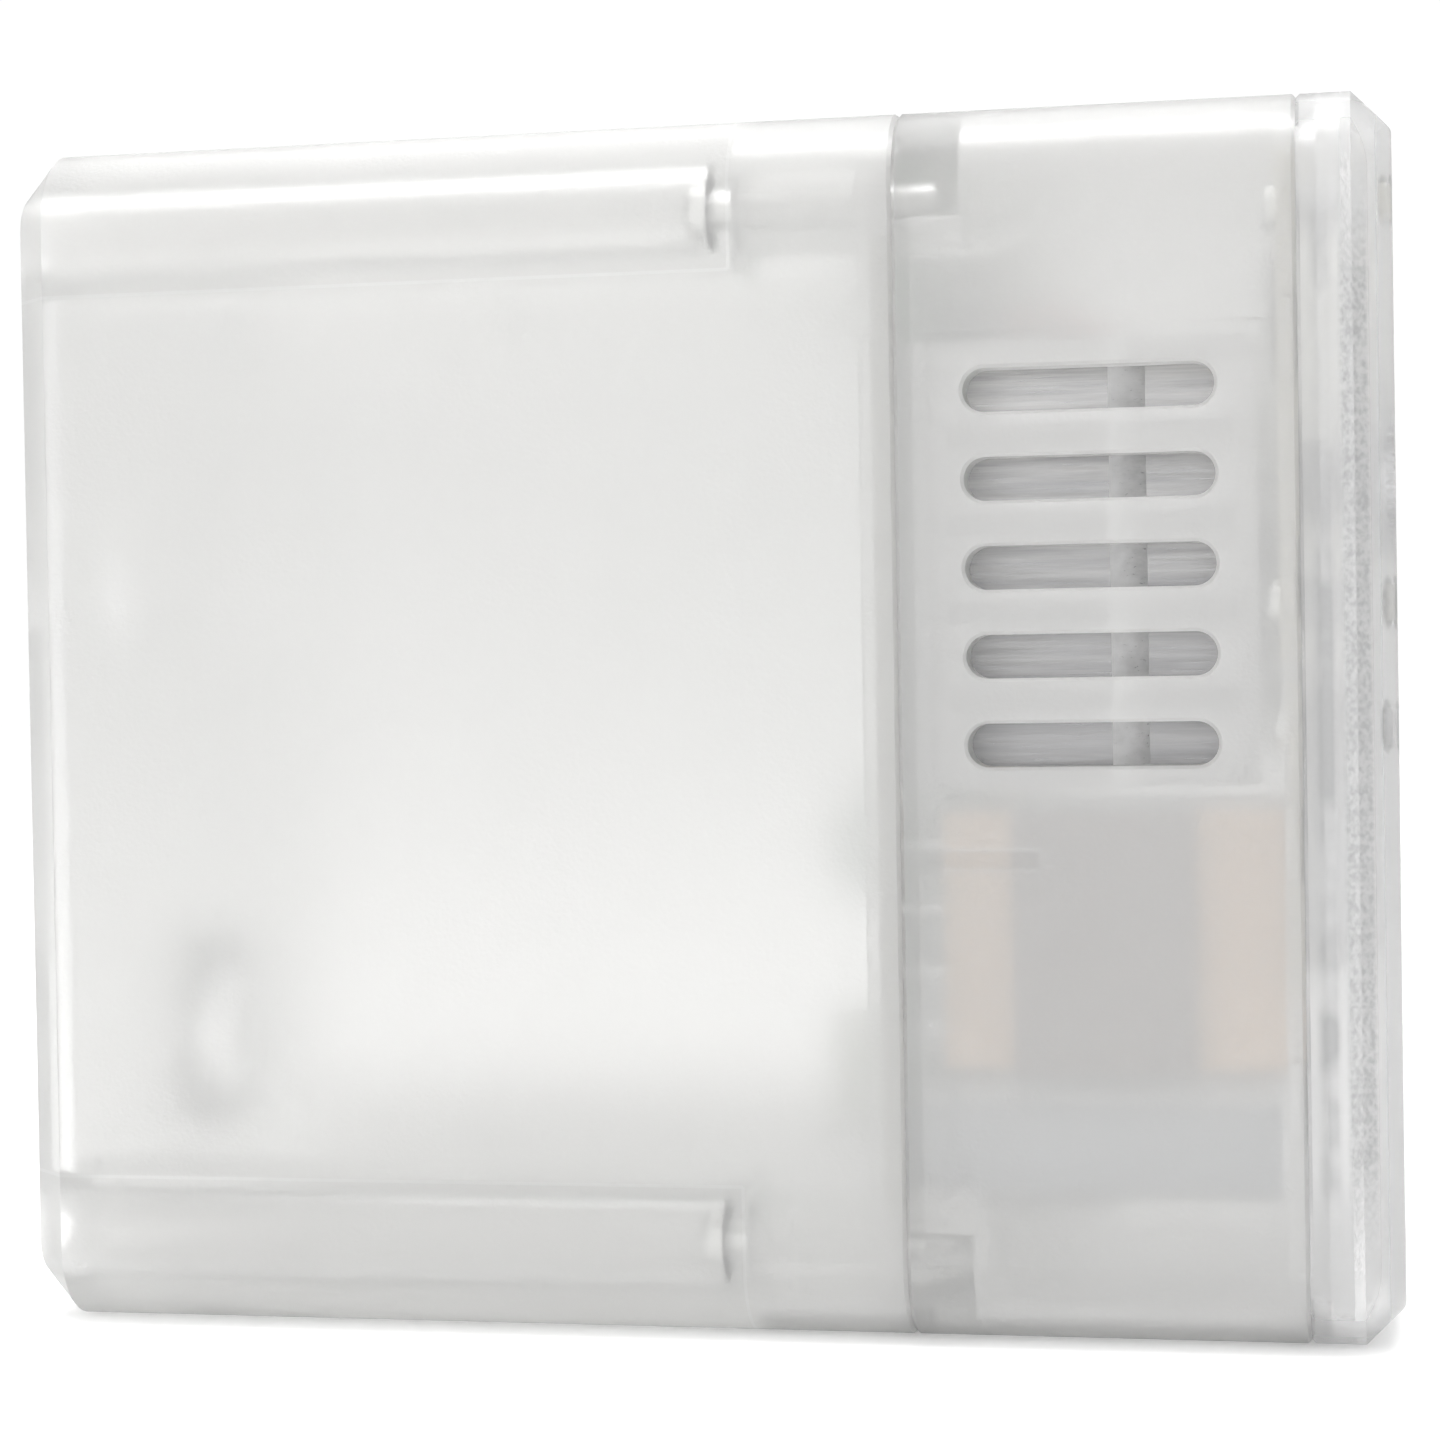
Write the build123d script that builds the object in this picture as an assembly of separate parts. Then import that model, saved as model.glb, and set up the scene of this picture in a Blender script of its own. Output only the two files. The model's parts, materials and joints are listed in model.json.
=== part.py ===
from build123d import *
from math import sqrt
import os

# Garage door opener control unit: a frosted three-piece case round a mains supply, a door relay,
# a radio board, a warning siren and a warning strobe. Millimetres. X runs from the rear face, which
# goes against the wall, to the front cover. Z is up. The origin is the centre of the base.

# ---- case ---------------------------------------------------------------------------------------
LENGTH = 110.5
WIDTH = 76.0
HEIGHT = 96.0
EDGE_R = 6.5               # the four long edges
WALL = 2.0
REAR_LENGTH = 72.8         # rear housing
RING_LENGTH = 30.6         # vent housing, between the rear housing and the front cover
END_CHAMFER = 3.2          # round the rear face
COVER_CHAMFER = 3.0        # round the front face
GROOVE = 0.3               # chamfer on each side of a case joint, which leaves a fine V groove
LIP_GAP = 0.15             # play between a lip and the wall that it slides into
LIP = 1.0                  # thickness of a lip

REAR = -LENGTH / 2         # the rear face
FRONT = LENGTH / 2         # the front face
B = REAR + REAR_LENGTH     # joint between the rear housing and the vent housing
C = B + RING_LENGTH        # joint between the vent housing and the front cover
SIDE = WIDTH / 2           # outside of a side wall, at plus and minus Y
MID_Z = HEIGHT / 2

# ---- case screws in their corner tunnels --------------------------------------------------------
TUNNEL = 12.3              # outside size of a tunnel, from the outside of the case
TUNNEL_LENGTH = 60.0
TUNNEL_FLOOR = 2.4
SCREW_INSET = 7.2          # screw axis, from the outside of the case
WELL_R = 3.4
CASE_SCREW_R = 1.45
CASE_SCREW_HEAD_R = 2.8
CASE_SCREW_LENGTH = 16.0
POST_R = 3.6
POST_REACH = 12.6          # how far the corner posts stand behind joint B
SCREW_SEAT = REAR + TUNNEL_LENGTH - TUNNEL_FLOOR

# ---- rear wall ----------------------------------------------------------------------------------
KEYHOLE_SPACING = 36.0
KEYHOLE_Z = 60.0
KEYHOLE_HEAD_R = 4.2
KEYHOLE_SLOT_R = 2.2
KEYHOLE_SLOT = 7.0
ENTRY_Z = 20.0             # cable entry
ENTRY_R = 6.5
GROMMET_FLANGE_R = 8.2
GROMMET_FLANGE = 1.2
GROMMET_BORE_R = 3.0
ENTRY_WALL = 2.2           # wall that the grommet grips
ENTRY_RECESS = 1.4         # sinks the grommet's flange below the rear face

# ---- vents --------------------------------------------------------------------------------------
SLOT_COUNT = 5
SLOT_LENGTH = 19.1
SLOT_WIDTH = 3.35
SLOT_PITCH = 6.8
SLOT_START = 5.3           # from joint B to the near end of a slot
SLOT_LOW_Z = 46.5          # centre of the lowest slot
VENT_PANEL_X = (B + 2.3, C - 1.7)
VENT_PANEL_Z = (42.0, 78.6)
VENT_PANEL_T = 3.0
PEG_Z = 37.6               # locating peg inside each side wall

# ---- snap tabs of the front cover ---------------------------------------------------------------
LIP_DEPTH = 1.5            # how far the cover's lip goes into the vent housing
REAR_LIP_DEPTH = 3.0       # how far the vent housing's lip goes into the rear housing
TAB_CENTRES_Z = (19.3, 38.8, 59.0, 77.0)
TAB_HALF = 2.9
TAB_OUT = 0.6

# ---- circuit boards -----------------------------------------------------------------------------
BOARD = 1.6
MAIN_FRONT = B - 0.6       # front surface of the main board
MAIN_REAR = MAIN_FRONT - BOARD
MAIN_HALF_WIDTH = 34.4
MAIN_Z = (7.8, 92.2)
CORNER_NOTCH = 10.0        # cut from each corner of the main board, from the outside of the case
FRONT_BOARD_REAR = C - BOARD
FRONT_BOARD_HALF_WIDTH = 34.4
FRONT_BOARD_Z = (52.6, 92.0)
STROBE_BOARD = 1.2
STROBE_Z = (27.0, 51.0)
PIN_R = 0.4
PIN_OUT = 1.2              # how far a soldered pin stands out of the back of its board
BOARD_SCREW_R = 1.2
BOARD_SCREW_PLACES = ((14.0, 11.5), (-18.0, 86.0), (18.0, 86.0))
BOARD_BOSS_R = 2.8
BOARD_BOSS_LENGTH = 9.0

# ---- parts of the main board, as (Y, Z) centres -------------------------------------------------
TRANSFORMER = (-21.0, 30.95)
TRANSFORMER_X = (B + 2.3, B + 29.1)
CORE_X = (B + 8.1, B + 22.1)
CORE_WIDTH = 25.0          # along Y
CORE_HEIGHT = 20.3         # along Z
CORE_LEG = 3.4             # outer legs and yokes; the middle leg is twice as wide
FLANGE = 1.2
RELAY_Y = (-21.3, -1.0)
RELAY_Z = (8.5, 18.8)
RELAY_HEIGHT = 15.8
CAPACITORS = ((-26.5, 15.3), (4.4, 13.9))
CAPACITOR_R = 5.0
CAPACITOR_LENGTH = 29.5
SIREN = (14.0, 60.0)
SIREN_R = 12.0
SIREN_HEIGHT = 9.0

# ---- terminal block on the back of the main board -----------------------------------------------
WAYS = 3                   # relay output, common and door sensor
WAY_PITCH = 5.08
TERMINAL_Y = 6.0           # its low-Y face
TERMINAL_Z = (32.0, 40.0)
TERMINAL_HEIGHT = 10.4
TERMINAL_SCREW_R = 1.2
TERMINAL_HEAD_R = 1.8
CAGE_TRAVEL = 1.8          # four turns of a 0.45 mm thread

# ---- controls on the front ----------------------------------------------------------------------
BUTTON = (-25.0, 66.5)
BUTTON_R = 5.0
BUTTON_PLAY = 0.1
BEZEL_R = 6.15
BUTTON_TRAVEL = 0.3
SWITCH = (24.0, 66.5)
SWITCH_TRAVEL = 2.5

LEDS = 6                   # strobe lamps in the reflector
LED_PITCH = 9.6


# ---- helpers ------------------------------------------------------------------------------------
def block(x, y, z):
    """Box that spans the (low, high) pairs x, y and z."""
    size = [high - low for low, high in (x, y, z)]
    centre = [(high + low) / 2 for low, high in (x, y, z)]
    return Pos(*centre) * Box(*size)


def rod(axis, radius, span, u, v):
    """Cylinder along axis over span; u and v place it on the other two axes, in X, Y, Z order."""
    middle = (span[0] + span[1]) / 2
    body = Cylinder(radius, span[1] - span[0])
    if axis == "X":
        return Pos(middle, u, v) * Rot(0, 90, 0) * body
    if axis == "Y":
        return Pos(u, middle, v) * Rot(90, 0, 0) * body
    return Pos(u, v, middle) * body


def case_section(x, inset):
    """The case's rounded rectangle over the pair x, inset all round from its outside."""
    outline = RectangleRounded(WIDTH - 2 * inset, HEIGHT - 2 * inset, EDGE_R - inset)
    plane = Plane(origin=(x[0], 0, MID_Z), x_dir=(0, 1, 0), z_dir=(1, 0, 0))
    return extrude(plane * outline, x[1] - x[0])


def end_edges(shape, at_front):
    """Edges round the front or rear end of a shape."""
    faces = shape.faces().sort_by(Axis.X)
    return (faces[-1] if at_front else faces[0]).edges()


def corners():
    """(Y, Z) and the outward signs of the four case screws."""
    for sign_y in (-1, 1):
        for sign_z in (-1, 1):
            yield sign_y * (SIDE - SCREW_INSET), MID_Z + sign_z * (MID_Z - SCREW_INSET), sign_y, sign_z


def ordered(a, b):
    return (min(a, b), max(a, b))


def corner_block(x, size, sign_y, sign_z):
    """Square bar in one corner of the case, size wide from the outside."""
    y = ordered(sign_y * SIDE, sign_y * (SIDE - size))
    outer_z = MID_Z + sign_z * MID_Z
    return block(x, y, ordered(outer_z, outer_z - sign_z * size))


# ---- case ---------------------------------------------------------------------------------------
def rear_housing():
    outer = case_section((REAR, B), 0)
    outer = chamfer(end_edges(outer, False), END_CHAMFER)
    outer = chamfer(end_edges(outer, True), GROOVE)
    bay = case_section((REAR + WALL, B), WALL)
    bay = chamfer(end_edges(bay, False), END_CHAMFER - WALL * (2 - sqrt(2)))
    shell = outer - bay
    for y, z, sign_y, sign_z in corners():
        shell += corner_block((REAR, REAR + TUNNEL_LENGTH), TUNNEL, sign_y, sign_z) & outer
    for y, z, sign_y, sign_z in corners():
        shell -= rod("X", WELL_R, (REAR - 1, SCREW_SEAT), y, z)
        shell -= rod("X", CASE_SCREW_R + 0.25, (SCREW_SEAT - 1, B), y, z)
    for y in (-KEYHOLE_SPACING / 2, KEYHOLE_SPACING / 2):
        shell -= keyhole(y)
    entry_depth = ENTRY_RECESS + ENTRY_WALL
    shell += rod("X", GROMMET_FLANGE_R + 1.8, (REAR, REAR + entry_depth), 0, ENTRY_Z)
    shell -= rod("X", GROMMET_FLANGE_R + 0.4, (REAR - 1, REAR + ENTRY_RECESS), 0, ENTRY_Z)
    shell -= rod("X", ENTRY_R, (REAR - 1, REAR + entry_depth + 1), 0, ENTRY_Z)
    return shell


def keyhole(y):
    """Cutter for one hanging slot: a round hole for a screw's head, with a narrow slot above it."""
    through = (REAR - 1, REAR + WALL + 1)
    head = rod("X", KEYHOLE_HEAD_R, through, y, KEYHOLE_Z)
    slot_top = KEYHOLE_Z + KEYHOLE_SLOT
    slot = block(through, (y - KEYHOLE_SLOT_R, y + KEYHOLE_SLOT_R), (KEYHOLE_Z, slot_top))
    return head + slot + rod("X", KEYHOLE_SLOT_R, through, y, slot_top)


def slot_centres():
    return [SLOT_LOW_Z + i * SLOT_PITCH for i in range(SLOT_COUNT)]


def vent_cutter():
    """The five round-ended slots, right through both sides of the case."""
    cutter = None
    low_x = B + SLOT_START + SLOT_WIDTH / 2
    high_x = B + SLOT_START + SLOT_LENGTH - SLOT_WIDTH / 2
    across = (-SIDE - 1, SIDE + 1)
    for z in slot_centres():
        slot = block((low_x, high_x), across, (z - SLOT_WIDTH / 2, z + SLOT_WIDTH / 2))
        for x in (low_x, high_x):
            slot += rod("Y", SLOT_WIDTH / 2, across, x, z)
        cutter = slot if cutter is None else cutter + slot
    return cutter


def vent_panel(sign):
    """Thickened inside of one side wall, with a rib between each two slots."""
    corner_r = 2.5
    rib_half = 0.8
    rib_out = 1.0
    inner = sign * (SIDE - VENT_PANEL_T)
    panel = block(VENT_PANEL_X, ordered(sign * (SIDE - 1), inner), VENT_PANEL_Z)
    low_edges = panel.edges().filter_by(Axis.Y).group_by(Axis.Z)[0]
    panel = fillet(low_edges, corner_r)
    for z in slot_centres()[:-1]:
        middle = z + SLOT_PITCH / 2
        rib_x = (VENT_PANEL_X[0] + 1.5, VENT_PANEL_X[1] - 3.2)
        rib_y = ordered(inner, inner - sign * rib_out)
        panel += block(rib_x, rib_y, (middle - rib_half, middle + rib_half))
    return panel


def corner_post(y, z, sign_y, sign_z, outer):
    """Post that takes a case screw. Its foot fills the corner of the vent housing."""
    foot_length = 5.0
    shoulder = 0.5         # the main board's corner rests on this
    post = rod("X", POST_R, (B - POST_REACH, B + foot_length), y, z)
    post += rod("X", POST_R + shoulder, (MAIN_FRONT, B + foot_length), y, z)
    return post + (corner_block((B, B + foot_length), SCREW_INSET + 1.5, sign_y, sign_z) & outer)


def board_boss(y, z):
    """Boss for one main board screw, on a web from the nearer of the top and bottom walls."""
    wall_z = 1.0 if z < MID_Z else HEIGHT - 1.0
    reach = (MAIN_FRONT, MAIN_FRONT + BOARD_BOSS_LENGTH)
    web = block((B, reach[1]), (y - 0.9, y + 0.9), ordered(wall_z, z))
    return rod("X", BOARD_BOSS_R, reach, y, z) + web


def tab_block(z, sign, x, play):
    """One snap tab of the front cover, or with play the pocket that it clicks into."""
    lip_outside = SIDE - WALL - LIP_GAP
    y = ordered(sign * (lip_outside - LIP / 2), sign * (SIDE - WALL + TAB_OUT + play))
    return block((x[0] - play, x[1] + play), y, (z - TAB_HALF - play, z + TAB_HALF + play))


def tab_span():
    return (C - LIP_DEPTH + 0.2, C - LIP_DEPTH + 1.0)


def vent_housing():
    outer = case_section((B, C), 0)
    outer = chamfer(end_edges(outer, False), GROOVE)
    outer = chamfer(end_edges(outer, True), GROOVE)
    ring = outer - case_section((B, C), WALL)
    for sign in (-1, 1):
        ring += vent_panel(sign)
    # the lip that slides into the rear housing stands on a ledge just inside joint B
    ledge = 1.2
    lip_x = (B - REAR_LIP_DEPTH, B + ledge)
    lip = case_section(lip_x, WALL + LIP_GAP) - case_section(lip_x, WALL + LIP_GAP + LIP)
    ring += lip
    ring += case_section((B, B + ledge), 1.0) - case_section((B, B + ledge), WALL + LIP_GAP + LIP)
    for y, z, sign_y, sign_z in corners():
        ring += corner_post(y, z, sign_y, sign_z, outer)
    for y, z in BOARD_SCREW_PLACES:
        ring += board_boss(y, z)
    # locating peg on the side wall, just above the transformer's edge
    peg_r = 0.9
    for sign in (-1, 1):
        ring += rod("X", peg_r, (B + 2.6, B + 10.5), sign * (SIDE - WALL - 0.5), PEG_Z)
        foot_y = ordered(sign * (SIDE - 1), sign * (SIDE - WALL - 1.4))
        ring += block((B + 1.0, B + 3.0), foot_y, (PEG_Z - peg_r, PEG_Z + peg_r))
    ring -= vent_cutter()
    for y, z, sign_y, sign_z in corners():
        bore_end = SCREW_SEAT + CASE_SCREW_LENGTH + 2.0
        ring -= rod("X", CASE_SCREW_R + 0.05, (B - POST_REACH - 1, bore_end), y, z)
    for y, z in BOARD_SCREW_PLACES:
        ring -= rod("X", BOARD_SCREW_R + 0.05, (MAIN_FRONT - 1, MAIN_FRONT + 7.0), y, z)
    for sign in (-1, 1):
        for z in TAB_CENTRES_Z:
            ring -= tab_block(z, sign, tab_span(), 0.1)
    slot_rims = [e for f in (ring.faces().sort_by(Axis.Y)[0], ring.faces().sort_by(Axis.Y)[-1])
                 for w in f.inner_wires() for e in w.edges()]
    return chamfer(slot_rims, 0.25)


def cover_bosses():
    """(Y, Z) of the bosses that hold the front board and the strobe board."""
    front = [(y, z) for y in (-30.5, 30.5) for z in (57.0, 87.5)]
    return front, [(-31.5, 47.5), (31.5, 47.5)]


def front_cover():
    ledge = 1.5
    inner_face = FRONT - WALL
    outer = case_section((C, FRONT), 0)
    outer = chamfer(end_edges(outer, True), COVER_CHAMFER)
    outer = fillet(end_edges(outer, True), 1.0)
    outer = chamfer(end_edges(outer, False), GROOVE)
    room = case_section((C + ledge, inner_face), WALL)
    room = chamfer(end_edges(room, True), COVER_CHAMFER - WALL * (2 - sqrt(2)))
    thick = WALL + LIP_GAP + LIP
    cover = outer - room - case_section((C, C + ledge), thick)
    lip_x = (C - LIP_DEPTH, C + ledge)
    cover += case_section(lip_x, WALL + LIP_GAP) - case_section(lip_x, thick)
    for sign in (-1, 1):
        for z in TAB_CENTRES_Z:
            cover += tab_block(z, sign, tab_span(), 0.0)
    front, strobe = cover_bosses()
    boss_r = 2.1
    for y, z in front + strobe:
        cover += rod("X", boss_r, (C, inner_face + 0.5), y, z)
        cover -= rod("X", 0.9, (C - 1, C + 3.6), y, z)
    cover -= rod("X", BEZEL_R, (C + ledge, FRONT + 1), *BUTTON)
    y, z = SWITCH
    cover -= block((C + ledge, FRONT + 1), (y - 1.4, y + 1.4), (z - 3.0, z + 3.0))
    return cover


def pan_screw(x, reach, y, z, radius, head_r, head):
    """Screw along +X with its head's seat at x and a cross recess in the head."""
    screw = rod("X", head_r, (x - head, x), y, z)
    screw = fillet(end_edges(screw, False), head * 0.45)
    screw += rod("X", radius, (x, x + reach), y, z)
    recess_depth = head * 0.6
    arm = head_r * 0.62
    recess_x = (x - head - 1, x - head + recess_depth)
    for half_y, half_z in ((arm, 0.3), (0.3, arm)):
        screw -= block(recess_x, (y - half_y, y + half_y), (z - half_z, z + half_z))
    return screw


def case_screws():
    return [pan_screw(SCREW_SEAT, CASE_SCREW_LENGTH, y, z, CASE_SCREW_R, CASE_SCREW_HEAD_R, 2.0)
            for y, z, _, _ in corners()]


def cable_grommet():
    low = REAR + ENTRY_RECESS - GROMMET_FLANGE
    wall_end = REAR + ENTRY_RECESS + ENTRY_WALL
    high = wall_end + GROMMET_FLANGE
    ring = rod("X", GROMMET_FLANGE_R, (low, low + GROMMET_FLANGE), 0, ENTRY_Z)
    ring += rod("X", GROMMET_FLANGE_R, (wall_end, high), 0, ENTRY_Z)
    ring = fillet(end_edges(ring, False) + end_edges(ring, True), 0.5)
    ring += rod("X", ENTRY_R, (low + GROMMET_FLANGE, wall_end), 0, ENTRY_Z)
    return ring - rod("X", GROMMET_BORE_R, (low - 1, high + 1), 0, ENTRY_Z)


# ---- pins: (Y, Z) of every soldered pin on the main board ---------------------------------------
def transformer_pin_places():
    """Four pins under each end flange of the bobbin."""
    y0, z0 = TRANSFORMER
    flange_y = CORE_WIDTH / 2 - CORE_LEG - FLANGE / 2 - 0.1
    return [(y0 + side * flange_y, z0 + step * 5.0) for side in (-1, 1) for step in (-1.5, -0.5, 0.5, 1.5)]


def relay_pin_places():
    low_y, high_y = RELAY_Y
    mid = sum(RELAY_Z) / 2
    coil = [(high_y - 5.0, mid - 3.2), (high_y - 5.0, mid + 3.2)]
    return coil + [(low_y + 0.95, mid + 0.05), (low_y + 0.95, mid - 3.05), (high_y - 11.0, mid + 3.6)]


def way_centres():
    return [TERMINAL_Y + WAY_PITCH * (i + 0.5) for i in range(WAYS)]


def terminal_pin_places():
    return [(y, 38.4) for y in way_centres()]


def main_circuit_board():
    board = block((MAIN_REAR, MAIN_FRONT), (-MAIN_HALF_WIDTH, MAIN_HALF_WIDTH), MAIN_Z)
    for y, z, sign_y, sign_z in corners():
        board -= corner_block((MAIN_REAR, MAIN_FRONT), CORNER_NOTCH, sign_y, sign_z)
        board -= rod("X", POST_R + 0.2, (MAIN_REAR, MAIN_FRONT), y, z)
    for y, z in BOARD_SCREW_PLACES:
        board -= rod("X", BOARD_SCREW_R + 0.2, (MAIN_REAR, MAIN_FRONT), y, z)
    for y, z in transformer_pin_places() + relay_pin_places() + terminal_pin_places():
        board -= rod("X", PIN_R + 0.02, (MAIN_REAR, MAIN_FRONT), y, z)
    return board


def board_screws():
    return [pan_screw(MAIN_REAR, BOARD + 6.0, y, z, BOARD_SCREW_R, 2.3, 1.5) for y, z in BOARD_SCREW_PLACES]


# ---- transformer --------------------------------------------------------------------------------
def transformer_core():
    """Laminated E and I stack. Its middle leg runs along Y."""
    y0, z0 = TRANSFORMER
    half_w, half_h = CORE_WIDTH / 2, CORE_HEIGHT / 2
    core = block(CORE_X, (y0 - half_w, y0 + half_w), (z0 - half_h, z0 + half_h))
    for side in (-1, 1):
        window_z = ordered(z0 + side * CORE_LEG, z0 + side * (half_h - CORE_LEG))
        core -= block(CORE_X, (y0 - half_w + CORE_LEG, y0 + half_w - CORE_LEG), window_z)
    return core


def bobbin_span():
    """Y of the bobbin's two outer faces."""
    half = CORE_WIDTH / 2 - CORE_LEG - 0.1
    return TRANSFORMER[0] - half, TRANSFORMER[0] + half


def bobbin_room(gap):
    """Space of the core's middle leg, with a gap round it."""
    z0 = TRANSFORMER[1]
    x = (CORE_X[0] - gap, CORE_X[1] + gap)
    y = (TRANSFORMER[0] - CORE_WIDTH, TRANSFORMER[0] + CORE_WIDTH)
    return block(x, y, (z0 - CORE_LEG - gap, z0 + CORE_LEG + gap))


def transformer_bobbin():
    """Split bobbin: a tube round the middle leg, two end flanges, and one between the windings."""
    tube_wall = 0.7
    low_y, high_y = bobbin_span()
    z0 = TRANSFORMER[1]
    half_h = CORE_HEIGHT / 2
    tube = bobbin_room(0.1 + tube_wall) & block(TRANSFORMER_X, (low_y, high_y), (z0 - half_h, z0 + half_h))
    middle = (low_y + high_y) / 2
    for y in ((low_y, low_y + FLANGE), (high_y - FLANGE, high_y), (middle - 0.4, middle + 0.4)):
        tube += block(TRANSFORMER_X, y, (z0 - half_h, z0 + half_h))
    tube -= bobbin_room(0.1)
    for side in (-1, 1):
        leg_z = ordered(z0 + side * (half_h - CORE_LEG - 0.1), z0 + side * (half_h + 1))
        tube -= block((CORE_X[0] - 0.1, CORE_X[1] + 0.1), (low_y - 1, high_y + 1), leg_z)
    return tube


def winding(primary):
    """Taped coil in one half of the bobbin."""
    low_y, high_y = bobbin_span()
    middle = (low_y + high_y) / 2
    span = (low_y + FLANGE, middle - 0.4) if primary else (middle + 0.4, high_y - FLANGE)
    z0 = TRANSFORMER[1]
    inset = 0.8
    half = CORE_HEIGHT / 2 - CORE_LEG - 0.3
    coil = block((TRANSFORMER_X[0] + inset, TRANSFORMER_X[1] - inset), span, (z0 - half, z0 + half))
    coil = fillet(coil.edges().filter_by(Axis.Y), 1.6)
    return coil - bobbin_room(0.8)


def pins(places, top):
    """Soldered pins from a part's underside at X = top back through the main board."""
    return [rod("X", PIN_R, (MAIN_REAR - PIN_OUT, top), y, z) for y, z in places]


# ---- relay --------------------------------------------------------------------------------------
RELAY_MID_Z = sum(RELAY_Z) / 2
RELAY_BASE_TOP = MAIN_FRONT + 2.0
RELAY_COVER_WALL = 0.7
COIL_Y = RELAY_Y[0] + 6.0
HINGE_Y = RELAY_Y[0] + 13.3
HINGE_X = MAIN_FRONT + 11.7
ARMATURE_X = HINGE_X + 0.1   # underside of the armature at rest
CONTACT_Y = RELAY_Y[0] + 1.9
STRIP_Y = (RELAY_Y[0] + 0.8, RELAY_Y[0] + 1.1)
PIVOT_R = 0.4                # round bead on the armature, which rolls in a groove in the yoke


def relay_base():
    base = block((MAIN_FRONT, RELAY_BASE_TOP), RELAY_Y, RELAY_Z)
    for y, z in relay_pin_places():
        base -= rod("X", PIN_R + 0.02, (MAIN_FRONT, RELAY_BASE_TOP), y, z)
    return base


def relay_cover():
    top = MAIN_FRONT + RELAY_HEIGHT
    cover = block((RELAY_BASE_TOP, top), RELAY_Y, RELAY_Z)
    cover = fillet(cover.edges().filter_by(Axis.X) + end_edges(cover, True), 0.8)
    t = RELAY_COVER_WALL
    room = block((RELAY_BASE_TOP, top - t), (RELAY_Y[0] + t, RELAY_Y[1] - t), (RELAY_Z[0] + t, RELAY_Z[1] - t))
    return cover - room


def relay_yoke():
    """L-shaped iron with the coil's core riveted into it."""
    z = (RELAY_MID_Z - 3.0, RELAY_MID_Z + 3.0)
    foot = RELAY_BASE_TOP + 0.1
    yoke = block((foot, foot + 1.0), (COIL_Y - 3.0, HINGE_Y), z)
    yoke += block((foot, HINGE_X - 0.1), (HINGE_Y - 1.0, HINGE_Y), z)
    yoke -= rod("Z", PIVOT_R + 0.05, z, HINGE_X, HINGE_Y)
    return yoke + rod("X", 1.6, (foot, ARMATURE_X - 0.78), COIL_Y, RELAY_MID_Z)


def relay_coil():
    foot = RELAY_BASE_TOP + 1.2
    top = ARMATURE_X - 1.3
    flange = 0.5
    coil = rod("X", 3.9, (foot, top), COIL_Y, RELAY_MID_Z)
    for x in ((foot, foot + flange), (top - flange, top)):
        coil += rod("X", 4.25, x, COIL_Y, RELAY_MID_Z)
    return coil - rod("X", 1.65, (foot, top), COIL_Y, RELAY_MID_Z)


def relay_armature():
    plate = 0.8
    z = (RELAY_MID_Z - 3.0, RELAY_MID_Z + 3.0)
    armature = block((ARMATURE_X, ARMATURE_X + plate), (CONTACT_Y + 1.3, HINGE_Y + 0.6), z)
    return armature + rod("Z", PIVOT_R, z, HINGE_X, HINGE_Y)


def relay_contact_spring():
    """Leaf on the armature with the moving contact riveted through its end."""
    low = ARMATURE_X + 0.8
    z = (RELAY_MID_Z - 1.5, RELAY_MID_Z + 1.5)
    leaf = block((low, low + 0.2), (CONTACT_Y - 0.75, HINGE_Y - 1.0), z)
    return leaf + rod("X", 0.7, (low - 0.4, low + 0.6), CONTACT_Y, RELAY_MID_Z)


def relay_fixed_contacts():
    """Two strips up from their pins: one contact each side of the moving one."""
    moving = (ARMATURE_X + 0.4, ARMATURE_X + 1.4)
    closed_drop = 0.95
    strip = 0.3
    no_top = moving[0] - closed_drop
    nc_low = moving[1] + 0.05
    open_pair = block((RELAY_BASE_TOP, no_top - 0.3), STRIP_Y, (RELAY_MID_Z - 1.4, RELAY_MID_Z + 1.4))
    open_pair += block((no_top - 0.3 - strip, no_top - 0.3), (STRIP_Y[0], CONTACT_Y + 0.3),
                       (RELAY_MID_Z - 1.4, RELAY_MID_Z + 1.4))
    open_pair += rod("X", 0.5, (no_top - 0.3, no_top), CONTACT_Y, RELAY_MID_Z)
    side_z = (RELAY_MID_Z - 4.0, RELAY_MID_Z - 2.1)
    closed = block((RELAY_BASE_TOP, nc_low + 0.3 + strip), STRIP_Y, side_z)
    closed += block((nc_low + 0.3, nc_low + 0.3 + strip), (STRIP_Y[0], CONTACT_Y + 0.9),
                    (RELAY_MID_Z - 4.0, RELAY_MID_Z + 0.9))
    closed += rod("X", 0.7, (nc_low, nc_low + 0.3), CONTACT_Y, RELAY_MID_Z)
    return [open_pair, closed]


# ---- other parts of the main board --------------------------------------------------------------
def smoothing_capacitors():
    cans = []
    for y, z in CAPACITORS:
        top = MAIN_FRONT + CAPACITOR_LENGTH
        can = rod("X", CAPACITOR_R, (MAIN_FRONT + 0.2, top), y, z)
        can = fillet(end_edges(can, True), 0.8)
        crimp = MAIN_FRONT + 3.5
        ring = rod("X", CAPACITOR_R + 1, (crimp - 0.5, crimp + 0.5), y, z)
        can -= ring - rod("X", CAPACITOR_R - 0.4, (crimp - 0.5, crimp + 0.5), y, z)
        for half_y, half_z in ((3.2, 0.2), (0.2, 3.2)):
            can -= block((top - 0.3, top + 1), (y - half_y, y + half_y), (z - half_z, z + half_z))
        cans.append(can)
    return cans


RECTIFIER_Y = (10.5, 13.5)
RECTIFIER_Z = (22.0, 37.0)


def bridge_rectifier():
    body = block((MAIN_FRONT + 0.2, MAIN_FRONT + 6.0), RECTIFIER_Y, RECTIFIER_Z)
    return fillet(body.edges().filter_by(Axis.Y), 0.8)


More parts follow.
